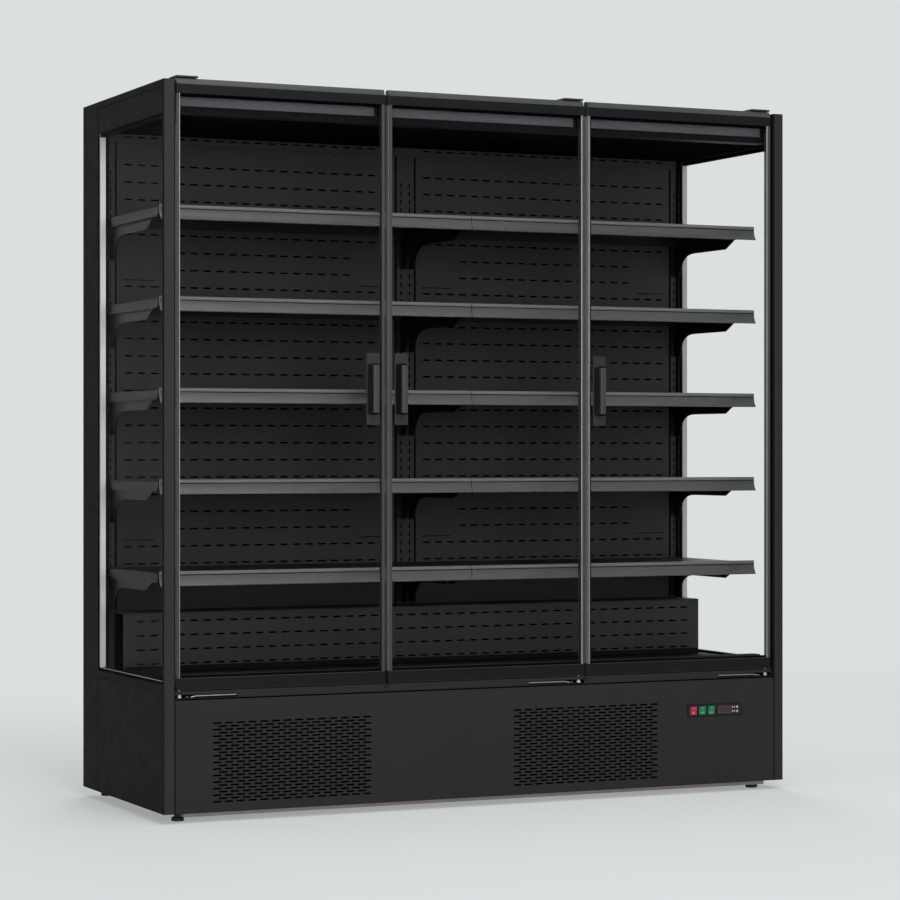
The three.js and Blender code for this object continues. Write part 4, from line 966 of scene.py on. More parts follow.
@dataclass
class Shell:
    """Roof with its lamp covers, rear panel, floor of the cold space and the sill under the doors."""

    edge: float = 1.0
    lining_drop: float = 0.3
    lining: float = 1.6
    lining_gap: float = 0.4
    cap: float = 8.7
    lip_proud: float = 0.8
    channel_low: float = 1933.4
    channel_high: float = 1960.0
    channels: tuple[Pair, ...] = ((-920.0, -327.0), (-296.0, 296.0), (327.0, 920.0))
    cover_front: float = 40.4
    cover_back: float = 41.9
    cover_foot: tuple[Pair, ...] = ((0.5, 0.5), (0.0, 1.6), (0.1, 16.0))
    cover_head: tuple[Pair, ...] = ((0.4, -1.4),)
    rear_skin: float = 0.8
    rear_sheet: float = 1.2
    rear_inset: float = 4.0
    rear_seam: float = 262.0
    rear_columns: tuple[float, ...] = (-311.0, 311.0)
    seam: float = 3.0
    vent_rows: tuple[float, ...] = (100.0, 160.0, 220.0)
    vent_columns: tuple[float, ...] = (-570.0, -190.0, 190.0, 570.0)
    vent: Pair = (300.0, 24.0)
    slats: int = 3
    slat_run: float = 20.0
    slat_drop: float = 8.6
    slat_pitch: float = 7.0
    slat_top: float = 0.6
    slat_thick: float = 1.0
    slat_gap: float = 0.4
    slat_inset: float = 9.0
    screw_pitch: float = 290.0
    screw_inset: float = 16.0
    screw_side: float = 13.0
    screw_first: float = 20.0
    screw_last: float = 30.0
    screw_drop: float = 14.0
    screw_gap: float = 0.02
    screw_head: tuple[Pair, ...] = ((0.0, 0.6), (3.6, 0.55), (4.6, 0.1), (4.6, 0.0), (0.0, 0.0))
    stop: Point = (10.0, 3.2, 9.0)
    stop_top: float = 353.5
    door_gaps: tuple[float, ...] = (-311.25, 311.25)

    def build(self) -> None:
        """Dresses the shell's solids and adds its covers, louvres and stops."""
        dress("roof_canopy", BLACK_COAT, self.edge)
        dress("door_lintel", BLACK_COAT, self.edge)
        # The floor of the cold space takes the lifted interior coat: painted light inside.
        dress("tub_floor", LIT_INNER_COAT, self.edge)
        dress("deck_tray", DECK_COAT)
        dress("front_sill", BLACK_COAT, 0.8)
        self.ceiling()
        self.lamp_covers()
        self.rear_wall()
        self.door_stops()

    def ceiling(self) -> None:
        """Lines the underside of the roof with a near-black sheet, painted shade under the roof."""
        roof = Extent.of("roof_canopy")
        top = roof.z0 - self.lining_drop
        back = Extent.of("back_header").d0 - self.lining_gap
        sheet = Shape().box((roof.x0 + INSET, roof.d0 + INSET, top - self.lining),
                            (roof.x1 - INSET, back, top))
        sheet.build("ceiling_lining", CABINET, Slot.BLACK_SHEET, SHADED_CEILING_COAT, bevel=0.4)

    def lamp_covers(self) -> None:
        """Fills the lintel's channels with curved covers and their end caps."""
        low, high, front, back = self.channel_low, self.channel_high, self.cover_front, self.cover_back
        line = [(back, low + 0.4), *((front + d, low + z) for d, z in self.cover_foot),
                *((front + d, high + z) for d, z in self.cover_head), (back, high - INSET)]
        covers = Shape()
        for start, end in self.channels:
            covers.prism(line, Axis.X, start + self.cap + FIT, end - self.cap - FIT, 0)
            for a, b in ((start, start + self.cap), (end - self.cap, end)):
                covers.prism(rectangle((front + FIT, low + FIT), (back, high - 0.8)), Axis.X, a, b, 1)
        lintel = Extent.of("door_lintel")
        # The lintel's lip takes the darker coat: painted shade on its face.
        covers.box((lintel.x0 + INSET, lintel.d0 - self.lip_proud, lintel.z0 + FIT),
                   (lintel.x1 - INSET, lintel.d0 - LAID, low - GAP), 2)
        covers.build("lamp_covers", CABINET, Slot.BLACK_PLASTIC, LAMP_COVER, BLACK_PLASTIC, SHADED_LIP_COAT,
                     bevel=0.3)

    def vents(self) -> list[list[Pair]]:
        """Corners of every opening in the rear panel."""
        a, b = self.vent[0] / 2, self.vent[1] / 2
        return [rectangle((x - a, z - b), (x + a, z + b)) for z in self.vent_rows for x in self.vent_columns]

    def rear_wall(self) -> None:
        """Makes the insulated wall with its outer sheets, screws and slatted vents."""
        box = Extent.of("rear_panel")
        skin = box.d1 - self.rear_skin
        core = Shape().plate(rectangle((box.x0, box.z0), (box.x1, box.z1)), self.vents(), Axis.DEPTH,
                             box.d0, skin - self.rear_sheet - GAP)
        core.build("rear_wall_core", CABINET, Slot.FOAM_PANEL, INSULATED, replaces=["rear_panel"])
        sheets, inset, half = Shape(), self.rear_inset, self.seam / 2
        faces = (Axis.DEPTH, skin - self.rear_sheet, skin)
        sheets.plate(rectangle((box.x0 + inset, box.z0 + inset), (box.x1 - inset, self.rear_seam)),
                     self.vents(), *faces)
        edges = [box.x0 + inset - half, *self.rear_columns, box.x1 - inset + half]
        for a, b in zip(edges, edges[1:]):
            low = (a + half, self.rear_seam + self.seam)
            sheets.plate(rectangle(low, (b - half, box.z1 - inset)), [], *faces)
        sheets.build("rear_sheets", CABINET, Slot.FOAM_PANEL, BLACK_COAT, bevel=0.4)
        self.rear_screws(box, skin)
        louvres = Shape()
        half, near = self.vent[0] / 2 - self.slat_gap, box.d0 + self.slat_inset
        far = near + self.slat_run
        for z in self.vent_rows:
            for x in self.vent_columns:
                for n in range(self.slats):
                    top = z + self.vent[1] / 2 - self.slat_top - n * self.slat_pitch
                    foot, thick = top - self.slat_drop, self.slat_thick
                    louvres.prism([(near, top), (far, foot), (far, foot - thick), (near, top - thick)],
                                  Axis.X, x - half, x + half)
        louvres.build("rear_vent_slats", CABINET, Slot.FOAM_PANEL, MACHINE_BLACK)

    def rear_screws(self, box: Extent, face: float) -> None:
        """Sets low screw heads along the edges of the rear sheets.

        Args:
            box: The rear panel's extent.
            face: Outer face of the sheets.
        """
        heads = Shape()
        inset, pair = self.screw_inset, (-self.screw_side, self.screw_side)
        columns = [box.x0 + inset, *(c + side for c in self.rear_columns for side in pair), box.x1 - inset]
        first, last = self.rear_seam + self.screw_first, box.z1 - self.screw_last
        count = int((last - first) / self.screw_pitch) + 1
        rows = [first + n * (last - first) / (count - 1) for n in range(count)]
        for x in columns:
            for z in (*rows, self.rear_seam - self.screw_drop, box.z0 + inset):
                heads.spin(self.screw_head, (x, face + self.screw_gap, z), Axis.DEPTH, 12)
        heads.build("rear_screws", CABINET, Slot.STEEL, STEEL)

    def door_stops(self) -> None:
        """Sets a small black stop on the sill under each gap between two doors."""
        blocks = Shape()
        face = Extent.of("front_sill").d0
        width, proud, height = self.stop
        for x in self.door_gaps:
            blocks.box((x - width / 2, face - proud, self.stop_top - height),
                       (x + width / 2, face - GAP, self.stop_top))
        blocks.build("door_stops", CABINET, Slot.BLACK_PLASTIC, BLACK_PLASTIC, bevel=0.6)


# ---------------------------------------------------------------- back wall


@dataclass
class BackWall:
    """Slotted header, slotted panels and the shelf uprights."""

    sheet: float = 1.2
    bend: float = 2.0
    flange: float = 9.0
    slot_run: float = 25.5
    slot_height: float = 5.2
    slot_pitch: float = 40.08
    slot_first: float = 70.4
    slots: int = 21
    rows: int = 24
    row_pitch: float = 50.0
    row_first: float = 1826.0
    short_rows: tuple[int, ...] = (5, 6, 20, 21)
    cover_slots: int = 3
    covers: tuple[Pair, ...] = ((43.0, 159.0), (783.5, 899.0))
    cover_bottoms: tuple[float, ...] = (1497.5, 747.5)
    cover_height: float = 114.0
    cover_thick: float = 0.9
    slit: Pair = (97.0, 2.6)
    slit_drop: float = 2.9
    rivet_head: tuple[Pair, ...] = ((0.0, -1.4), (1.7, -1.15), (2.7, -0.5), (2.9, -0.05), (0.0, -0.05))
    rivets: tuple[Pair, ...] = ((-245.0, 1879.3), (0.0, 1839.8), (245.0, 1879.3), (0.0, 1309.8),
                                (0.0, 1065.3), (0.0, 800.8))
    header_slot_drop: float = 9.0
    hook_width: float = 5.0
    hook_height: float = 15.0
    hook_pitch: float = 25.0
    hook_first: float = 1801.0
    hook_last: float = 560.0
    lining_gap: float = 7.4
    lining_inset: float = 2.0
    lining_drop: float = 160.0
    joint: float = 4.4
    centre_joint: float = 29.2
    outer_joint: float = 908.1

    def build(self) -> None:
        """Makes the wall's sheets."""
        # The wall's sheets take the lifted interior coat: painted light inside the cabinet.
        self.header()
        for label, side in (("left", -1), ("right", 1)):
            self.panel(label, side)
            box = Extent.of(f"upright_{label}")
            self.upright(f"upright_{label}", [side * (max(abs(box.x0), abs(box.x1)) - 7.6)])
        self.upright("upright_centre", [-13.8, 13.8])
        self.lining()

    def lining(self) -> None:
        """Puts a near-black sheet behind every slot as painted shade, and dark strips in the joints by the
        uprights.
        """
        wall, header = Extent.of("back_panel_left"), Extent.of("back_header")
        near = wall.d0 + self.lining_gap
        felt = Shape().box((header.x0 + self.lining_inset, near, wall.z0 - self.lining_drop),
                           (header.x1 - self.lining_inset, near + self.sheet, header.z1 - 1.5))
        for edge in (self.centre_joint, self.outer_joint):
            for side in (-1, 1):
                x0, x1 = sorted((side * edge, side * (edge + self.joint)))
                felt.box((x0, wall.d0 - 0.5, wall.z0), (x1, wall.d0 - 0.06, wall.z1))
        felt.build("back_wall_shade_sheet", CABINET, Slot.BLACK_SHEET, BLACK_FELT_AND_SHADE)

    def columns(self, side: int) -> list[float]:
        """Middles of the slots in one bay."""
        return [side * (self.slot_first + n * self.slot_pitch) for n in range(self.slots)]

    def header(self) -> None:
        """Makes the slotted strip under the ceiling."""
        box = Extent.of("back_header")
        fold = rounded([(box.d0, box.z1), (box.d0, box.z0), (box.d0 + self.flange, box.z0)], self.bend)
        at = (box.d0, box.z1 - self.header_slot_drop)
        holes = [Hole(at, x, self.slot_height, self.slot_run) for s in (-1, 1) for x in self.columns(s)]
        Shape().sheet(fold, Axis.X, box.x0, box.x1, holes).build(
            "back_header_sheet", CABINET, Slot.BLACK_SHEET, LIT_INNER_COAT, replaces=["back_header"],
            thickness=self.sheet)

    def panel(self, label: str, side: int) -> None:
        """Makes one bay's slotted panel with its cover plates.

        Args:
            label: Which bay.
            side: -1 on the left, 1 on the right.
        """
        node = f"back_panel_{label}"
        box = Extent.of(node)
        back = box.d0 + self.flange
        fold = rounded([(box.x0, back), (box.x0, box.d0), (box.x1, box.d0), (box.x1, back)], self.bend)
        holes = []
        for row in range(self.rows):
            columns = self.columns(side)
            if row in self.short_rows:
                columns = columns[self.cover_slots:-self.cover_slots]
            z = self.row_first - row * self.row_pitch
            holes += [Hole((x, box.d0), z, self.slot_run, self.slot_height) for x in columns]
        for bottom in self.cover_bottoms:
            for near, far in self.covers:
                middle = (side * (near + far) / 2, box.d0)
                holes.append(Hole(middle, bottom - self.slit_drop, *self.slit, steps=2))
        Shape().sheet(fold, Axis.HEIGHT, box.z0, box.z1, holes).build(
            f"back_panel_{label}_sheet", CABINET, Slot.BLACK_SHEET, LIT_INNER_COAT, replaces=[node],
            thickness=self.sheet)
        plates = Shape()
        for bottom in self.cover_bottoms:
            for near, far in self.covers:
                x0, x1 = sorted((side * near, side * far))
                plates.prism(rectangle((x0, bottom), (x1, bottom + self.cover_height), 4.0), Axis.DEPTH,
                             box.d0 - LAID - self.cover_thick, box.d0 - LAID)
        plates.build(f"cover_plates_{label}", CABINET, Slot.BLACK_SHEET, LIT_INNER_COAT)
        heads = Shape()
        for x, z in self.rivets:
            heads.spin(self.rivet_head, (box.x + x, box.d0, z), Axis.DEPTH, 12)
        heads.build(f"panel_rivets_{label}", CABINET, Slot.BLACK_SHEET, BLACK_PLASTIC)

    def upright(self, node: str, columns: Sequence[float]) -> None:
        """Makes a channel with its columns of hook slots.

        Args:
            node: The CAD node that it stands for.
            columns: Middle of each slot column.
        """
        box = Extent.of(node)
        fold = rounded([(box.x0, box.d1), (box.x0, box.d0), (box.x1, box.d0), (box.x1, box.d1)], self.bend)
        count = int((self.hook_first - self.hook_last) / self.hook_pitch) + 1
        holes = [Hole((x, box.d0), self.hook_first - n * self.hook_pitch, self.hook_width, self.hook_height,
                      steps=2) for x in columns for n in range(count)]
        Shape().sheet(fold, Axis.HEIGHT, box.z0, box.z1, holes).build(
            f"{node}_channel", CABINET, Slot.BLACK_SHEET, LIT_INNER_COAT, replaces=[node], thickness=self.sheet)


@dataclass
class LowerDuct:
    """Slotted cover of the air duct behind the lowest level, and the return air grille in front."""

    sheet: float = 1.2
    bend: float = 2.0
    columns: int = 45
    pitch: float = 40.08
    rows: tuple[float, ...] = (518.0, 477.7, 437.3, 397.0)
    slot_run: float = 25.5
    slot_height: float = 5.2
    foot: float = 13.0
    foot_proud: float = 1.4
    grille_pitch: float = 6.4
    grille_hole: float = 4.6
    grille_rows: int = 6
    slope_rows: int = 3
    grille_margin: float = 10.0
    grille_bend: float = 1.5
    slope_front: float = 11.5
    slope_back: float = 15.0
    grille_sheet: float = 1.0
    felt: float = 1.2
    felt_gap: float = 4.0
    felt_inset: float = 3.0
    felt_foot: float = 0.4
    felt_drop: float = 2.6

    def build(self) -> None:
        """Makes the duct cover and the grille."""
        box = Extent.of("lower_duct_panel")
        fold = rounded([(box.d1, box.z1), (box.d0, box.z1), (box.d0, box.z0)], self.bend)
        half = (self.columns - 1) / 2
        holes = [Hole((box.d0, z), (n - half) * self.pitch, self.slot_height, self.slot_run)
                 for z in self.rows for n in range(self.columns)]
        # The duct cover takes the lifted interior coat: painted light inside the cabinet.
        Shape().sheet(fold, Axis.X, box.x0, box.x1, holes).build(
            "lower_duct_cover", CABINET, Slot.BLACK_SHEET, LIT_INNER_COAT, replaces=["lower_duct_panel"],
            thickness=self.sheet)
        hump = Extent.of("return_grille")
        # A dark strip along the foot of the duct cover: painted shade at the bottom of the duct, behind the
        # grille.
        foot = Shape().box((box.x0 + INSET, box.d0 - self.foot_proud, box.z0 + FIT),
                           (box.x1 - INSET, box.d0 - GAP, box.z0 + self.foot))
        foot.build("duct_foot_painted_shade", CABINET, Slot.BLACK_SHEET, DECK_COAT, bevel=0.4)
        # Near-black sheets behind the duct's slots and under the grille: painted shade in the air space
        # there.
        near, inset = box.d0 + self.felt_gap, self.felt_inset
        low, high = hump.z0 + self.felt_foot, hump.z1 - self.felt_drop
        felt = Shape().box((box.x0 + 2, near, box.z0 + INSET), (box.x1 - 2, near + self.felt, box.z1 - 2))
        felt.prism([(hump.d0 + inset, low), (hump.d0 + self.slope_front + 2, high),
                    (hump.d1 - self.slope_back - 1.5, high), (hump.d1 - inset, low)],
                   Axis.X, hump.x0 + inset, hump.x1 - inset)
        felt.build("duct_shade_sheet", CABINET, Slot.BLACK_SHEET, BLACK_FELT_AND_SHADE)
        self.grille()

    def grille(self) -> None:
        """Makes the perforated hump behind the doors."""
        box = Extent.of("return_grille")
        front, back = self.slope_front, self.slope_back
        fold = rounded([(box.d1, box.z0), (box.d1 - back, box.z1), (box.d0 + front, box.z1),
                        (box.d0, box.z0)], self.grille_bend, 2)
        middle = (box.d1 - back + box.d0 + front) / 2
        reach = box.x1 - self.grille_margin
        count = int(2 * reach / self.grille_pitch)
        places = [(middle + (row - (self.grille_rows - 1) / 2) * self.grille_pitch, box.z1)
                  for row in range(self.grille_rows)]
        shares = [(row + 0.75) / (self.slope_rows + 0.5) for row in range(self.slope_rows)]
        places += [(box.d0 + front * share, box.z0 + (box.z1 - box.z0) * share) for share in shares]
        holes = []
        for row, place in enumerate(places):
            shift = self.grille_pitch / 2 if row % 2 else 0.0
            for n in range(count):
                x = -reach + self.grille_pitch * (n + 0.25) + shift
                holes.append(Hole(place, x, self.grille_hole, self.grille_hole, steps=2))
        # The grille takes the darkened coat: painted shade under the doors.
        Shape().sheet(fold, Axis.X, box.x0, box.x1, holes).build(
            "return_grille_sheet", CABINET, Slot.BLACK_SHEET, SHADED_GRILLE_COAT, replaces=["return_grille"],
            thickness=self.grille_sheet)


# ---------------------------------------------------------------- shelves


@dataclass
class Shelf:
    """One folded tray with its ticket strip and its two hooked brackets."""

    level: int
    label: str
    sheet: float = 1.2
    bend: float = 2.0
    rim: float = 6.0
    flange: float = 26.0
    flange_front: float = 130.0
    tray_back: float = 570.0
    tray_front: float = 30.0
    tray_gap: float = 3.4
    side_gap: float = 0.2
    skin_gap: float = 1.5
    bead_points: int = 9
    groove_back: float = 1.4
    flange_chamfer: Pair = (14.0, 18.0)
    bracket_places: Pair = (13.8, 925.6)
    tail_thick: float = 1.4
    tail_top: float = 12.0
    strip_top: float = 117.0
    strip_bottom: float = 106.5
    strip_height: float = 41.0
    strip_thick: float = 1.2
    bead_height: float = 9.6
    bead_line: tuple[Pair, ...] = (
        (5.2, -5.2), (4.8, -1.4), (3.2, 0.0), (1.6, -0.2), (0.5, -1.2), (0.0, -3.0))
    bead_foot: tuple[Pair, ...] = ((-0.3, 1.6), (0.3, 0.3), (2.6, 0.0))
    groove: float = 2.6
    band_head: tuple[Pair, ...] = ((2.8, 0.0), (0.2, -0.2))
    band_start: Pair = (0.2, 0.8)
    band_end: Pair = (0.6, 2.6)
    band_foot: tuple[Pair, ...] = ((0.0, 1.4), (0.5, 0.3), (1.9, 0.0))
    band_steps: int = 9
    flare: float = 2.0
    cap: float = 1.2
    cap_depth: float = 3.4
    bracket: float = 3.0
    nose: float = 208.0
    nose_foot: float = 264.0
    bracket_gap: float = 0.4
    bend_pull: float = 7.0
    bend_steps: int = 8
    drop: float = 59.0
    knee: float = 458.0
    tail: float = 545.0
    tail_drop: float = 126.0
    back: float = 582.7
    hook_depth: float = 590.0
    hook_height: float = 9.0
    tail_flange: float = 13.2
    hook_places: tuple[float, ...] = (-48.0, -98.0)
    hole: Pair = (226.0, -24.0)
    hole_radius: float = 3.5

    def build(self) -> None:
        """Makes the shelf's pieces."""
        node = f"shelf_{self.level}_{self.label}"
        box = Extent.of(node)
        top = box.z1
        front, under = self.strip_top + self.tray_gap, top - self.rim
        tray = rounded([(self.tray_back, under - self.flange), (self.tray_back, under), (front, under),
                        (front, top - self.tray_front)], self.bend)
        gap = self.side_gap
        Shape().sheet(tray, Axis.X, box.x0 + gap, box.x1 - gap).build(
            f"{node}_tray", CABINET, Slot.SHELF_PAINT, SHELF_COAT, replaces=[node], thickness=self.sheet)
        line = self.strip_line(top)
        outer = self.label == "left"
        ends = (box.x0 + self.cap, box.x1) if outer else (box.x0, box.x1 - self.cap)
        bead, band = line[:self.bead_points], line[self.bead_points:]
        Shape().sheet(bead, Axis.X, *ends).sheet(band, Axis.X, *ends, zone=1).build(
            f"{node}_ticket_strip", CABINET, Slot.SHELF_PAINT, STRIP_BEAD, TICKET_STRIP,
            thickness=self.strip_thick)
        groove, foot = bead[-1], band[0][1]
        Shape().box((ends[0] + gap, groove[0] + gap, foot - 1),
                    (ends[1] - gap, groove[0] + self.groove_back, groove[1] + 1)).build(
            f"{node}_strip_groove", CABINET, Slot.SHELF_PAINT, BLACK_PLASTIC)
        # The end cap takes the pale grey: painted highlight on the strip's end.
        edge = bead[3:7] + band[2:]
        edge += [(d + self.cap_depth, z) for d, z in reversed(edge)]
        start = box.x0 if outer else box.x1 - self.cap + GAP
        Shape().prism(edge, Axis.X, start, start + self.cap - GAP).build(
            f"{node}_strip_end", CABINET, Slot.SHELF_PAINT, LIT_STRIP_END)
        side = 1 if self.label == "right" else -1
        # Brackets and side bars take near-black plastic, not the shelf coat: painted shade under the shelf.
        bars = Shape()
        near, far, skin = self.flange_front, self.tray_back - self.skin_gap, under - self.skin_gap
        run, drop = self.flange_chamfer
        outline = [(near, skin), (near, top - drop), (near + run, under - self.flange),
                   (far, under - self.flange), (far, skin)]
        for x in (box.x0 + gap, box.x1 - self.sheet - gap):
            bars.prism(outline, Axis.X, x, x + self.sheet)
        for x in (side * place for place in self.bracket_places):
            bars.plate(self.bracket_outline(top), [self.bracket_hole(top)], Axis.X,
                       x - self.bracket / 2, x + self.bracket / 2)
            for way in (-1, 1):
                x0, x1 = sorted((x + way * (self.bracket / 2 + GAP), x + way * self.tail_flange))
                bars.box((x0, self.back - self.tail_thick, top - self.tail_drop + 2),
                         (x1, self.back - GAP, top - self.tail_top))
        bars.build(f"{node}_brackets", CABINET, Slot.SHELF_PAINT, BLACK_PLASTIC)

    def strip_line(self, top: float) -> list[Pair]:
        """Section of the ticket strip: a bead, a groove and a band that flares forward.

        Args:
            top: Height of the shelf's front edge.

        Returns:
            The line of its outer face, from the top down.
        """
        front, bead, foot = self.strip_top, top - self.bead_height, top - self.strip_height
        line = [(front + d, top + z) for d, z in self.bead_line]
        line += [(front + d, bead + z) for d, z in self.bead_foot]
        line += [(front + d, bead - self.groove + z) for d, z in self.band_head]
        start, end = self.band_start, self.band_end
        first = self.bead_height + self.groove + start[1]
        last = self.strip_height - end[1]
        reach = self.strip_top - self.strip_bottom - end[0]
        for n in range(self.band_steps + 1):
            share = n / self.band_steps
            line.append((front - start[0] - reach * share ** self.flare,
                         top - first - (last - first) * share))
        line += [(self.strip_bottom + d, foot + z) for d, z in self.band_foot]
        return line

    def bracket_outline(self, top: float) -> list[Pair]:
        """Section of a bracket with its hooks.

        Args:
            top: Height of the shelf's front edge.

        Returns:
            The bracket's corners.
        """
        under = top - self.rim - self.sheet - self.bracket_gap
        line = [(self.nose, under), (self.nose, top - self.rim - self.flange),
                (self.nose_foot, top - self.drop), (self.knee, top - self.drop)]
        bend = Vector((self.tail - self.bend_pull, top - self.drop))
        start, end = Vector(line[-1]), Vector((self.tail, top - self.tail_drop))
        for n in range(1, self.bend_steps + 1):
            t = n / self.bend_steps
            line.append(tuple(start * (1 - t) ** 2 + bend * 2 * t * (1 - t) + end * t ** 2))
        line.append((self.back, top - self.tail_drop))
        for z in sorted(self.hook_places):
            low, high = top + z - self.hook_height / 2, top + z + self.hook_height / 2
            line += [(self.back, low), (self.hook_depth, low), (self.hook_depth, high), (self.back, high)]
        line.append((self.back, under))
        return line

    def bracket_hole(self, top: float) -> list[Pair]:
        """Corners of the round hole near a bracket's nose."""
        d, z = self.hole
        return circle((d, top + z), self.hole_radius, 10)


# ---------------------------------------------------------------- doors


@dataclass
class Door:
    """One hinged door: profiles, double-glazed unit, gasket and pull handle."""

    number: int
    hand: int
    # Places of the bright beads across the door: painted highlights on the stiles.
    painted_light_strips: tuple[Pair, ...]
    # Places of near-black strips across the door: painted shadow beside the stiles.
    shadow_strips: tuple[Pair, ...]
    # Finish of the strip on the door's left side: painted light in the gap beside it.
    side: Finish
    pane: float = 4.0
    spacer: float = 5.0
    gasket_rail: float = 7.0
    gasket_stile: float = 2.0
    gasket_depth: float = 3.0
    stile: float = 9.0
    stile_lip: float = 4.5
    stile_wall: float = 2.2
    top_rail: float = 42.0
    top_bevel: float = 15.0
    bevel_run: float = 7.0
    bottom_rail: float = 33.0
    cover: float = 0.7
    cover_inset: float = 0.6
    cover_edge: float = 0.8
    strip_proud: float = 0.8
    bead_proud: float = 1.2
    lit_side_strip: Pair = (10.0, 32.0)
    groove: float = 4.6
    pivot_inset: float = 11.0
    pivot_depth: float = 20.0
    bore: float = 4.5
    pad: float = 3.0
    pad_corner: float = 3.0
    grip_width: float = 18.0
    grip_length: float = 133.0
    grip_thick: float = 12.0
    web_flare: float = 8.6
    web_proud: float = 2.6
    stop: float = 3.8
    plate: float = 1.0
    plate_inner: float = 50.0
    plate_outer: float = 12.0
    rod_radius: float = 1.5
    rod_depth: float = 14.6
    rod_line: tuple[Pair, ...] = ((31.0, 338.9), (44.5, 341.2), (47.0, 341.5), (162.0, 341.8))
    bolt_place: float = 22.0
    window_top: float = 345.9
    shadow_pocket: float = 34.0
    shadow_pocket_height: float = 15.0
    shadow_pocket_thick: float = 1.0
    pin_radius: float = 4.0
    pin_foot: tuple[Pair, ...] = ((0.0, LAID), (7.0, LAID), (7.0, 4.0), (5.4, 5.0), (5.4, 9.5), (4.0, 10.5))
    bolt_head: tuple[Pair, ...] = ((0.0, LAID), (4.5, LAID), (4.5, 3.6), (3.6, 4.2), (0.0, 4.2))
    guard_start: float = 46.0
    guard_gap: float = 1.7
    guard_lift: float = 2.2
    guard_width: float = 8.0
    guard_thick: float = 1.8

    @property
    def pivot(self) -> float:
        """Where the door's hinge axis is, from left to right."""
        box = Extent.of(f"door_{self.number}_frame")
        return box.x0 + self.pivot_inset if self.hand > 0 else box.x1 - self.pivot_inset

    def build(self) -> None:
        """Makes the door's pieces."""
        body = f"door_{self.number}"
        self.frame(body)
        self.trim(body)
        self.glass(body)
        self.gasket(body)
        self.handle(body)
        dress(f"top_hinge_{self.number}", BLACK_COAT, 0.8)
        self.bottom_hinge()

    def frame(self, body: str) -> None:
        """Makes the two rails with their pin bores, and the two thin stiles.

        Args:
            body: The door's body.
        """
        node = f"{body}_frame"
        box = Extent.of(node)
        bore = circle((self.pivot, self.pivot_depth), self.bore)
        low, high = box.z0 + self.bottom_rail, box.z1 - self.top_rail
        step, nose = box.z1 - self.top_bevel, box.d0 + self.bevel_run
        shoulder, land = step - 3, nose + 1
        rails = Shape()
        rails.plate(rectangle((box.x0, box.d0), (box.x1, box.d1)), [bore], Axis.HEIGHT, box.z0, low)
        rails.prism(rectangle((box.d0, high), (box.d1, shoulder)), Axis.X, box.x0, box.x1)
        rails.prism([(box.d0, shoulder), (land, shoulder), (land, box.z1), (nose, box.z1), (box.d0, step)],
                    Axis.X, box.x0, box.x1)
        rails.plate(rectangle((box.x0, land), (box.x1, box.d1)), [bore], Axis.HEIGHT, shoulder, box.z1)
        rails.build(f"{body}_rails", body, Slot.DOOR_PROFILE, STILE, replaces=[node])
        stiles = Shape()
        for edge, way in ((box.x0, 1), (box.x1, -1)):
            lip, wall, inner = box.d0 + self.stile_lip, edge + way * self.stile_wall, edge + way * self.stile
            section = [(edge, box.d0), (inner, box.d0), (inner, lip), (wall, lip), (wall, box.d1),
                       (edge, box.d1)]
            stiles.prism(section, Axis.HEIGHT, low + 0.02, high - 0.02)
        stiles.build(f"{body}_stiles", body, Slot.DOOR_PROFILE, STILE, bevel=0.5)

    def trim(self, body: str) -> None:
        """Covers the rails and lays painted light and shade: bright beads, dark strips and a lighter side
        strip.

        Args:
            body: The door's body.
        """
        box = Extent.of(f"{body}_frame")
        front, back = box.d0 - self.cover, box.d0 - LAID
        rails, x0, x1, edge = Shape(), box.x0 + self.cover_inset, box.x1 - self.cover_inset, self.cover_edge
        rails.box((x0, front, box.z0 + edge), (x1, back, box.z0 + self.bottom_rail - INSET))
        rails.box((x0, front, box.z1 - self.top_rail + INSET), (x1, back, box.z1 - self.top_bevel - edge))
        rails.build(f"{body}_rail_covers", body, Slot.DOOR_PROFILE, RAIL_COAT, bevel=0.25)
        low, high = box.z0 + self.bottom_rail, box.z1 - self.top_rail
        painted_light_strips = Shape()
        for zone, pairs in ((0, self.painted_light_strips), (1, self.shadow_strips)):
            for a, b in pairs:
                painted_light_strips.prism(rectangle((box.x0 + a, box.d0 - self.bead_proud), (box.x0 + b, back), 0.5, 2),
                            Axis.HEIGHT, low, high, zone)
        # A near-black strip just under the top rail: painted shadow of the rail.
        painted_light_strips.box((box.x0 + self.stile + 0.5, front, high - self.groove + edge),
                  (box.x1 - self.stile - 0.5, back, high + edge), 1)
        # A light strip on the door's left side: painted light in the gap beside it.
        near, far = self.lit_side_strip
        painted_light_strips.box((box.x0 - self.strip_proud, near, low), (box.x0 - LAID, far, high), 2)
        painted_light_strips.build(f"{body}_beads", body, Slot.DOOR_PROFILE, HIGHLIGHT_BEAD, BLACK_FELT_AND_SHADE, self.side)

    def bottom_hinge(self) -> None:
        """Makes the hinge on the sill: plate, flanged pin, bolt and the bent closing rod."""
        node = f"bottom_hinge_{self.number}"
        box = Extent.of(node)
        x, way, floor = self.pivot, self.hand, box.z0 + self.plate
        hinge = Shape()
        ends = sorted((x - way * self.plate_outer, x + way * self.plate_inner))
        hinge.prism(rectangle((ends[0], box.d0), (ends[1], box.d1), 4.0), Axis.HEIGHT, box.z0, floor, 0)
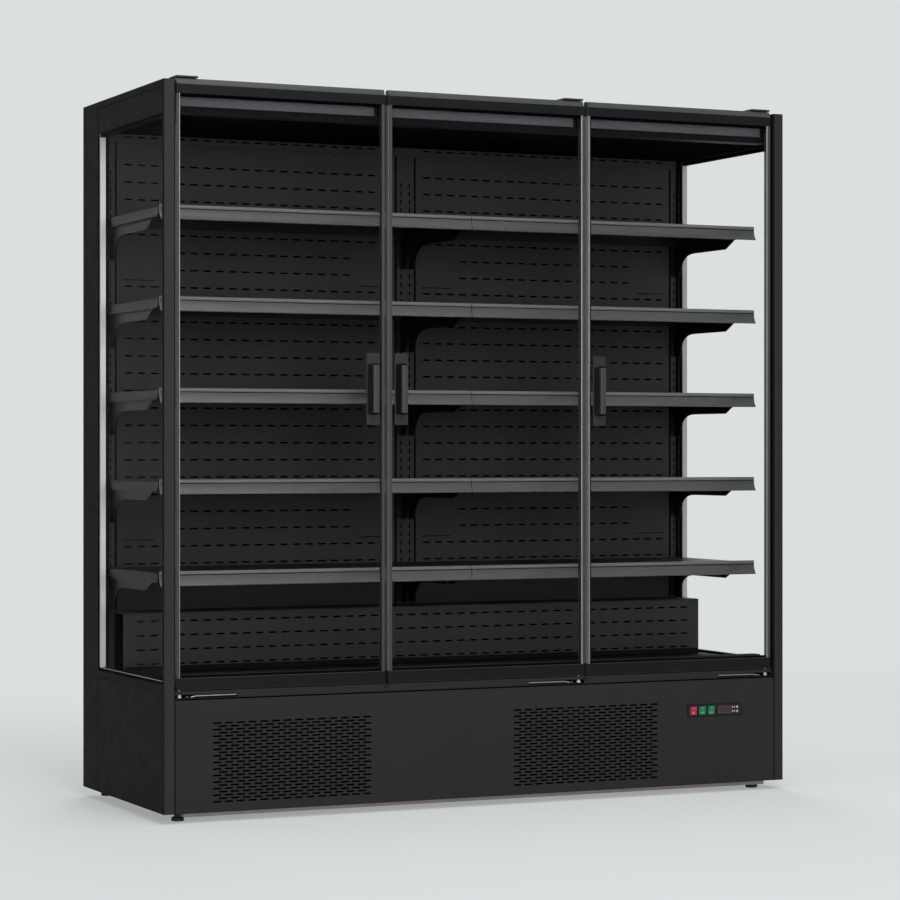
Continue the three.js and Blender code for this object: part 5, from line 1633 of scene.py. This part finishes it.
        # A near-black sheet behind the hinge: painted shade in the pocket round the pin.
        hinge.box((ends[0] + INSET, self.shadow_pocket, floor + GAP),
                  (ends[1] - INSET, self.shadow_pocket + self.shadow_pocket_thick, floor + self.shadow_pocket_height), 0)
        tip = box.z1 - floor
        pin = [*self.pin_foot, (self.pin_radius, tip), (0.0, tip)]
        hinge.spin(pin, (x, self.pivot_depth, floor), Axis.HEIGHT, 24, 1)
        hinge.spin(self.bolt_head, (x + way * self.bolt_place, self.pivot_depth, floor), Axis.HEIGHT, 6, 2)
        line = [(x + way * along, self.rod_depth, height) for along, height in self.rod_line]
        hinge.rod(line, self.rod_radius, 10, 1)
        sill = Extent.of("front_sill")
        reach, end = self.rod_line[-1]
        edge = reach + self.guard_gap
        for a, b, low in ((self.guard_start, edge - GAP, end + self.guard_lift),
                          (edge, edge + self.guard_width, sill.z0 + FIT)):
            x0, x1 = sorted((x + way * a, x + way * b))
            hinge.box((x0, sill.d0 + FIT, low), (x1, sill.d0 + self.guard_thick, self.window_top), 3)
        hinge.build(f"{node}_set", CABINET, Slot.STEEL, SPACER_BLACK, STEEL, KEY_GREY, BLACK_COAT,
                    replaces=[node])

    def handle(self, body: str) -> None:
        """Makes the pull handle: a round-cornered pad, the grip and the flared web between them.

        Args:
            body: The door's body.
        """
        node = f"{body}_handle"
        box = Extent.of(node)
        pad = Shape().prism(rectangle((box.x0, box.z0), (box.x1, box.z1), self.pad_corner), Axis.DEPTH,
                            box.d1 - self.pad, box.d1)
        pad.build(f"{node}_pad", body, Slot.BLACK_PLASTIC, HANDLE_PLASTIC, replaces=[node], bevel=0.8)
        half, low, high = self.grip_width / 2, box.z - self.grip_length / 2, box.z + self.grip_length / 2
        section = rectangle((box.x - half, box.d0), (box.x + half, box.d0 + self.grip_thick), 3.0, 4)
        Shape().prism(section, Axis.HEIGHT, low, high).build(
            f"{node}_grip", body, Slot.BLACK_PLASTIC, GRIP_PLASTIC, bevel=1.2)
        # The web is near-black and flares wider than the grip at the pad: painted shade of the grip's side
        # and its shadow on the pad.
        near, far, head = box.d0 + self.grip_thick + GAP, box.d1 - self.pad - GAP, half - 0.6
        foot = head + self.web_flare
        web = [(box.x - foot, far), (box.x + foot, far), (box.x + head, near), (box.x - head, near)]
        core = Shape().prism(web, Axis.HEIGHT, low - self.web_proud, high + self.web_proud)
        # Black blocks at the grip's ends: painted shadow there.
        for z in (low - self.stop - GAP, high + GAP):
            core.box((box.x - half + 1, box.d0 + 2.5, z), (box.x + half - 1, near - GAP, z + self.stop), 1)
        core.build(f"{node}_web", body, Slot.BLACK_PLASTIC, MACHINE_BLACK, BLACK_FELT_AND_SHADE, bevel=0.8)

    def glass(self, body: str) -> None:
        """Makes the two panes and the black spacers between them along the rails.

        Args:
            body: The door's body.
        """
        node = f"{body}_glass"
        box = Extent.of(node)
        panes = Shape()
        for d in (box.d0, box.d1 - self.pane):
            panes.box((box.x0, d, box.z0), (box.x1, d + self.pane, box.z1))
        panes.build(f"{body}_panes", body, Slot.CLEAR_GLASS, GLASS, replaces=[node])
        low, high = box.d0 + self.pane + GAP, box.d1 - self.pane - GAP
        s = self.spacer
        bars = Shape()
        for z in (box.z0, box.z1 - s):
            bars.box((box.x0, low, z), (box.x1, high, z + s))
        bars.build(f"{body}_spacers", body, Slot.BLACK_PLASTIC, SPACER_BLACK)

    def gasket(self, body: str) -> None:
        """Makes the soft seal behind the door's edge.

        Args:
            body: The door's body.
        """
        box = Extent.of(f"{body}_frame")
        left, right, low, high = box.x0 + 2, box.x1 - 2, box.z0 + 2, box.z1 - 38
        outer = rectangle((left, low), (right, high))
        inner = rectangle((left + self.gasket_stile, low + self.gasket_rail),
                          (right - self.gasket_stile, high - self.gasket_rail))
        Shape().plate(outer, [inner], Axis.DEPTH, box.d1 + GAP, box.d1 + self.gasket_depth).build(
            f"{body}_gasket", body, Slot.RUBBER, GASKET, bevel=1.5)


# ---------------------------------------------------------------- lower front


@dataclass
class LowerFront:
    """Front panel of the machine space with two louvre fields, and the controls."""

    sheet: float = 1.5
    bend: float = 2.5
    fields: tuple[float, ...] = (-593.75, 310.0)
    rows: int = 25
    row_pitch: float = 8.85
    row_first: float = 267.3
    long_row: int = 14
    slot_pitch: float = 33.9
    slot_run: float = 25.5
    slot_height: float = 5.0
    window_margin: float = 3.0
    filter_depth: float = 7.0
    display: Pair = (44.0, 20.0)
    display_inset: float = 6.0
    rim: float = 0.8
    rim_proud: float = 0.5
    icon_place: float = 52.0
    icon_pitch: float = 5.4
    print_proud: float = 0.25
    print_gap: float = 0.02

    def build(self) -> None:
        """Makes the panel and dresses the controls."""
        box = Extent.of("front_panel")
        fold = rounded([(box.d1, box.z1), (box.d0, box.z1), (box.d0, box.z0), (box.d1, box.z0)], self.bend)
        holes = []
        for field in self.fields:
            for row in range(self.rows):
                count = self.long_row - row % 2
                z = self.row_first - row * self.row_pitch
                for n in range(count):
                    x = field + (n - (count - 1) / 2) * self.slot_pitch
                    holes.append(Hole((box.d0, z), x, self.slot_height, self.slot_run))
        plate = Extent.of("control_plate")
        holes.append(Hole((box.d0, plate.z), plate.x, plate.z1 - plate.z0 - 2 * self.window_margin,
                          plate.x1 - plate.x0 - 2 * self.window_margin, square=True))
        Shape().sheet(fold, Axis.X, box.x0, box.x1, holes).build(
            "front_panel_sheet", CABINET, Slot.BLACK_PAINT, BLACK_COAT, replaces=["front_panel"],
            thickness=self.sheet)
        felt = Shape()
        half = (self.long_row * self.slot_pitch) / 2
        bottom = self.row_first - self.rows * self.row_pitch
        for field in self.fields:
            felt.box((field - half, self.filter_depth, bottom),
                     (field + half, self.filter_depth + 1, self.row_first + 8))
        felt.build("louvre_filters", CABINET, Slot.BLACK_PAINT, BLACK_FELT_AND_SHADE)
        dress("control_plate", BLACK_PLASTIC, 0.6)
        for node, body, finish in (("red_rocker", "red_switch", RED_GLOSS),
                                   ("green_rocker_1", "green_switch_1", GREEN_GLOSS),
                                   ("green_rocker_2", "green_switch_2", GREEN_GLOSS)):
            Rocker(node, body, finish).build()
        self.thermostat()

    def thermostat(self) -> None:
        """Dresses the thermostat and adds its display window, the window's rim and marks on the keys."""
        dress("thermostat", CASE_GLOSS, 0.5)
        case = Extent.of("thermostat")
        start, half = case.x0 + self.display_inset, self.display[1] / 2

        def ring(inset: float, radius: float) -> list[Pair]:
            """Outline that lies the inset inside the display's edge."""
            return rectangle((start + inset, case.z - half + inset),
                             (start + self.display[0] - inset, case.z + half - inset), radius)

        Shape().plate(ring(0.0, 2.0), [ring(self.rim, 1.4)], Axis.DEPTH, case.d0 - self.rim_proud,
                      case.d0 - LAID).build("display_rim", CABINET, Slot.THERMOSTAT_CASE, KEY_GREY)
        Shape().prism(ring(self.rim + 0.2, 1.3), Axis.DEPTH, case.d0 - FIT, case.d0 - LAID).build(
            "display_window", CABINET, Slot.THERMOSTAT_CASE, DISPLAY)
        for node, body, way in (("thermostat_key_up", "key_up", 1), ("thermostat_key_down", "key_down", -1)):
            dress(node, KEY_GREY, 0.5)
            key = Extent.of(node)
            icon = Shape()
            for n in range(2):
                left, foot = case.x0 + self.icon_place + n * self.icon_pitch, key.z - way * 2.4
                icon.prism([(left, foot), (left + 3.4, foot), (left + 1.7, key.z + way * 3)],
                           Axis.DEPTH, case.d0 - self.print_proud, case.d0 - self.print_gap)
            icon.build(f"{node}_icons", CABINET, Slot.THERMOSTAT_CASE, PALE_MARK)
            foot = key.z - way * 2.2
            tip = [(key.x - 3.2, foot), (key.x + 3.2, foot), (key.x, key.z + way * 2.8)]
            Shape().prism(tip, Axis.DEPTH, key.d0 - self.print_proud, key.d0 - self.print_gap).build(
                f"{node}_mark", body, Slot.KEY_GREY, PALE_MARK)


@dataclass
class Rocker:
    """One rocker switch with its generic on and off marks."""

    node: str
    body: str
    finish: Finish
    axis_depth: float = 4.0
    axis_height: float = 243.5
    tilt: float = 7.0
    face: float = -6.3
    mark_place: float = 6.4
    mark_proud: float = 0.35
    mark_sunk: float = 0.3
    bar: Pair = (1.4, 4.6)
    ring: float = 2.5
    line: float = 0.8

    def build(self) -> None:
        """Dresses the paddle and lays its marks on it."""
        dress(self.node, self.finish, 0.5)
        x = Extent.of(self.node).x
        marks = Shape()
        a, b = self.bar[0] / 2, self.bar[1] / 2
        up = rectangle((x - a, self.mark_place - b), (x + a, self.mark_place + b), 0.8, 2)
        outer, inner = (circle((x, -self.mark_place), r) for r in (self.ring, self.ring - self.line))
        near, far = self.face - self.mark_proud, self.face + self.mark_sunk
        marks.prism(up, Axis.DEPTH, near, far)
        marks.plate(outer, [inner], Axis.DEPTH, near, far)
        lean = math.radians(self.tilt)
        marks.points = [(x, self.axis_depth + d * math.cos(lean) - z * math.sin(lean),
                         self.axis_height + d * math.sin(lean) + z * math.cos(lean))
                        for x, d, z in marks.points]
        marks.build(f"{self.node}_marks", self.body, Slot.BLACK_PLASTIC, PALE_MARK)


# ---------------------------------------------------------------- base and cooling machine


@dataclass
class Base:
    """Chassis, feet and the cooling machine."""

    plate: float = 4.0
    plate_top: float = 30.0
    plate_front: float = 24.0
    rail_bottom: float = 16.0
    rail_inset: float = 86.5
    front_reach: float = 907.0
    rail_width: float = 28.0
    rail_back: float = 655.0
    bore: float = 6.5

    def build(self) -> None:
        """Makes the chassis and dresses the base's solids."""
        self.chassis()
        for foot in self.feet():
            dress(foot, FOOT_PLASTIC)
        dress("compressor", MACHINE_BLACK)
        dress("condenser_coil", MACHINE_BLACK)
        dress("condenser_fan", BLACK_PLASTIC)
        dress("evaporator_coil", COIL_FIN)

    def feet(self) -> list[str]:
        """Names of the four feet."""
        return [f"foot_{row}_{label}" for row in ("front", "rear") for label in ("left", "right")]

    def chassis(self) -> None:
        """Makes the base plate with the openings for the feet and the rails under it."""
        box = Extent.of("base_chassis")
        feet = [Extent.of(foot) for foot in self.feet()]
        holes = [circle((foot.x, foot.d), self.bore) for foot in feet]
        sheet = Shape().plate(rectangle((box.x0, self.plate_front), (box.x1, box.d1)), holes, Axis.HEIGHT,
                              self.plate_top - self.plate, self.plate_top)
        reach = box.x1 - self.rail_inset
        near, far, top = box.d0, self.rail_back, self.plate_top - self.plate - LAID
        for d, half in ((near, self.front_reach), (far - self.rail_width, reach)):
            sheet.box((-half, d, self.rail_bottom), (half, d + self.rail_width, top))
        for side in (-1, 1):
            x0, x1 = sorted((side * reach, side * (reach - self.rail_width)))
            sheet.box((x0, near + self.rail_width + LAID, self.rail_bottom),
                      (x1, far - self.rail_width - LAID, top))
        sheet.build("chassis_frame", CABINET, Slot.GALVANISED, GALVANISED, replaces=["base_chassis"])


# ---------------------------------------------------------------- studio


@dataclass
class Studio:
    """Pale floor, soft lamps and the camera."""

    camera_place: Point = (-3.4308, -7.4843, 1.0045)
    camera_turn: float = -24.87
    lens: float = 112.28
    sensor: float = 36.0
    floor_radius: float = 40.0
    floor_sides: int = 64
    fade_start: float = 1.8
    fade_end: float = 6.0
    backdrop: str = "dcdfe0"
    fill: float = 0.26
    floor_glow: float = 0.45
    lamps: tuple[tuple[str, Point, Point, float, float], ...] = (
        ("key", (-0.6, -4.6, 5.6), (0.0, -0.2, 1.0), 2.6, 180.0),
        ("front", (-1.2, -8.8, 2.4), (0.0, 0.0, 1.0), 3.0, 240.0),
        ("top", (0.0, -0.6, 5.4), (0.0, 0.0, 1.0), 3.4, 90.0),
        ("rear", (1.5, 5.0, 4.2), (0.0, 0.0, 1.0), 3.0, 160.0))

    def build(self) -> None:
        """Makes the floor, the world, the lamps and the camera."""
        self.world()
        self.floor()
        for lamp in self.lamps:
            self.lamp(*lamp)
        self.camera()

    def camera(self) -> None:
        """Makes the camera at the photograph's viewing angle."""
        data = bpy.data.cameras.new("camera")
        data.lens = self.lens
        data.sensor_width = self.sensor
        camera = bpy.data.objects.new("camera", data)
        camera.location = self.camera_place
        camera.rotation_euler = (math.radians(90), 0.0, math.radians(self.camera_turn))
        bpy.context.scene.collection.objects.link(camera)
        bpy.context.scene.camera = camera

    def lamp(self, name: str, place: Point, target: Point, size: float, power: float) -> None:
        """Hangs one soft lamp.

        Args:
            name: Its name.
            place: Where it hangs, in metres.
            target: What it points at.
            size: Width of its square.
            power: Its power in watts.
        """
        data = bpy.data.lights.new(name, "AREA")
        data.shape = "SQUARE"
        data.size = size
        data.energy = power
        lamp = bpy.data.objects.new(name, data)
        lamp.location = place
        lamp.rotation_euler = (Vector(target) - Vector(place)).to_track_quat("-Z", "Y").to_euler()
        bpy.context.scene.collection.objects.link(lamp)

    def world(self) -> None:
        """Lights the scene evenly, and shows the backdrop's colour behind it."""
        world = bpy.data.worlds.new("studio")
        bpy.context.scene.world = world
        world.use_nodes = True
        nodes, links = world.node_tree.nodes, world.node_tree.links
        light = nodes["Background"]
        light.inputs["Color"].default_value = (1.0, 1.0, 1.0, 1.0)
        light.inputs["Strength"].default_value = self.fill
        seen = nodes.new("ShaderNodeBackground")
        seen.inputs["Color"].default_value = linear(self.backdrop)
        rays = nodes.new("ShaderNodeLightPath").outputs
        clear = combine(world.node_tree, "MAXIMUM", rays["Is Camera Ray"], rays["Is Transmission Ray"])
        mix = nodes.new("ShaderNodeMixShader")
        links.new(combine(world.node_tree, "MAXIMUM", clear, rays["Is Glossy Ray"]), mix.inputs["Fac"])
        links.new(light.outputs["Background"], mix.inputs[1])
        links.new(seen.outputs["Background"], mix.inputs[2])
        links.new(mix.outputs["Shader"], nodes["World Output"].inputs["Surface"])

    def floor(self) -> None:
        """Lays a pale floor that fades into the backdrop's colour far from the cabinet."""
        mesh = bpy.data.meshes.new("floor")
        rim = circle((0.0, 0.0), self.floor_radius, self.floor_sides)
        mesh.from_pydata([(x, y, 0.0) for x, y in rim], [], [tuple(range(self.floor_sides))])
        shader = Shader("pale_floor")
        shader.set(Base_Color=linear(self.backdrop), Roughness=0.9, Specular_IOR_Level=0.1)
        nodes, links = shader.nodes, shader.links
        grain = shader.noise(3.0, 3.0)
        shader.relief((grain, 0.05))
        reach = nodes.new("ShaderNodeVectorMath")
        reach.operation = "LENGTH"
        links.new(shader.place, reach.inputs[0])
        fade = nodes.new("ShaderNodeMapRange")
        fade.interpolation_type = "SMOOTHSTEP"
        fade.inputs["From Min"].default_value = self.fade_start
        fade.inputs["From Max"].default_value = self.fade_end
        fade.inputs["To Min"].default_value = self.floor_glow
        links.new(reach.outputs["Value"], fade.inputs["Value"])
        camera_ray = nodes.new("ShaderNodeLightPath").outputs["Is Camera Ray"]
        glow = nodes.new("ShaderNodeEmission")
        glow.inputs["Color"].default_value = linear(self.backdrop)
        mix = nodes.new("ShaderNodeMixShader")
        links.new(combine(shader.tree, "MULTIPLY", fade.outputs["Result"], camera_ray), mix.inputs["Fac"])
        links.new(shader.surface.outputs["BSDF"], mix.inputs[1])
        links.new(glow.outputs["Emission"], mix.inputs[2])
        links.new(mix.outputs["Shader"], nodes["Material Output"].inputs["Surface"])
        mesh.materials.append(shader.material)
        floor = bpy.data.objects.new("floor", mesh)
        bpy.context.scene.collection.objects.link(floor)


def main() -> None:
    """Builds the fridge piece by piece, then the studio."""
    logging.basicConfig(level=logging.INFO, format="%(name)s: %(message)s")
    bpy.context.scene.view_settings.view_transform = "Standard"
    Studio().build()
    for label in ("left", "right"):
        EndPanel(label).build()
    Shell().build()
    BackWall().build()
    LowerDuct().build()
    for level in range(1, 6):
        for label in ("left", "right"):
            Shelf(level, label).build()
    # Door 1's side strip takes the dimmer grey, doors 2 and 3 the lighter: painted light in the gaps.
    Door(number=1, hand=1, painted_light_strips=((6.8, 8.7),), shadow_strips=(), side=DIMMER_LIT_PROFILE_SIDE).build()
    Door(number=2, hand=-1, painted_light_strips=((600.2, 605.4),), shadow_strips=(), side=LIT_PROFILE_SIDE).build()
    Door(number=3, hand=-1, painted_light_strips=((1.6, 6.3), (595.0, 600.4)), shadow_strips=((6.6, 9.4),),
         side=LIT_PROFILE_SIDE).build()
    LowerFront().build()
    Base().build()


if __name__ == "__main__":
    main()
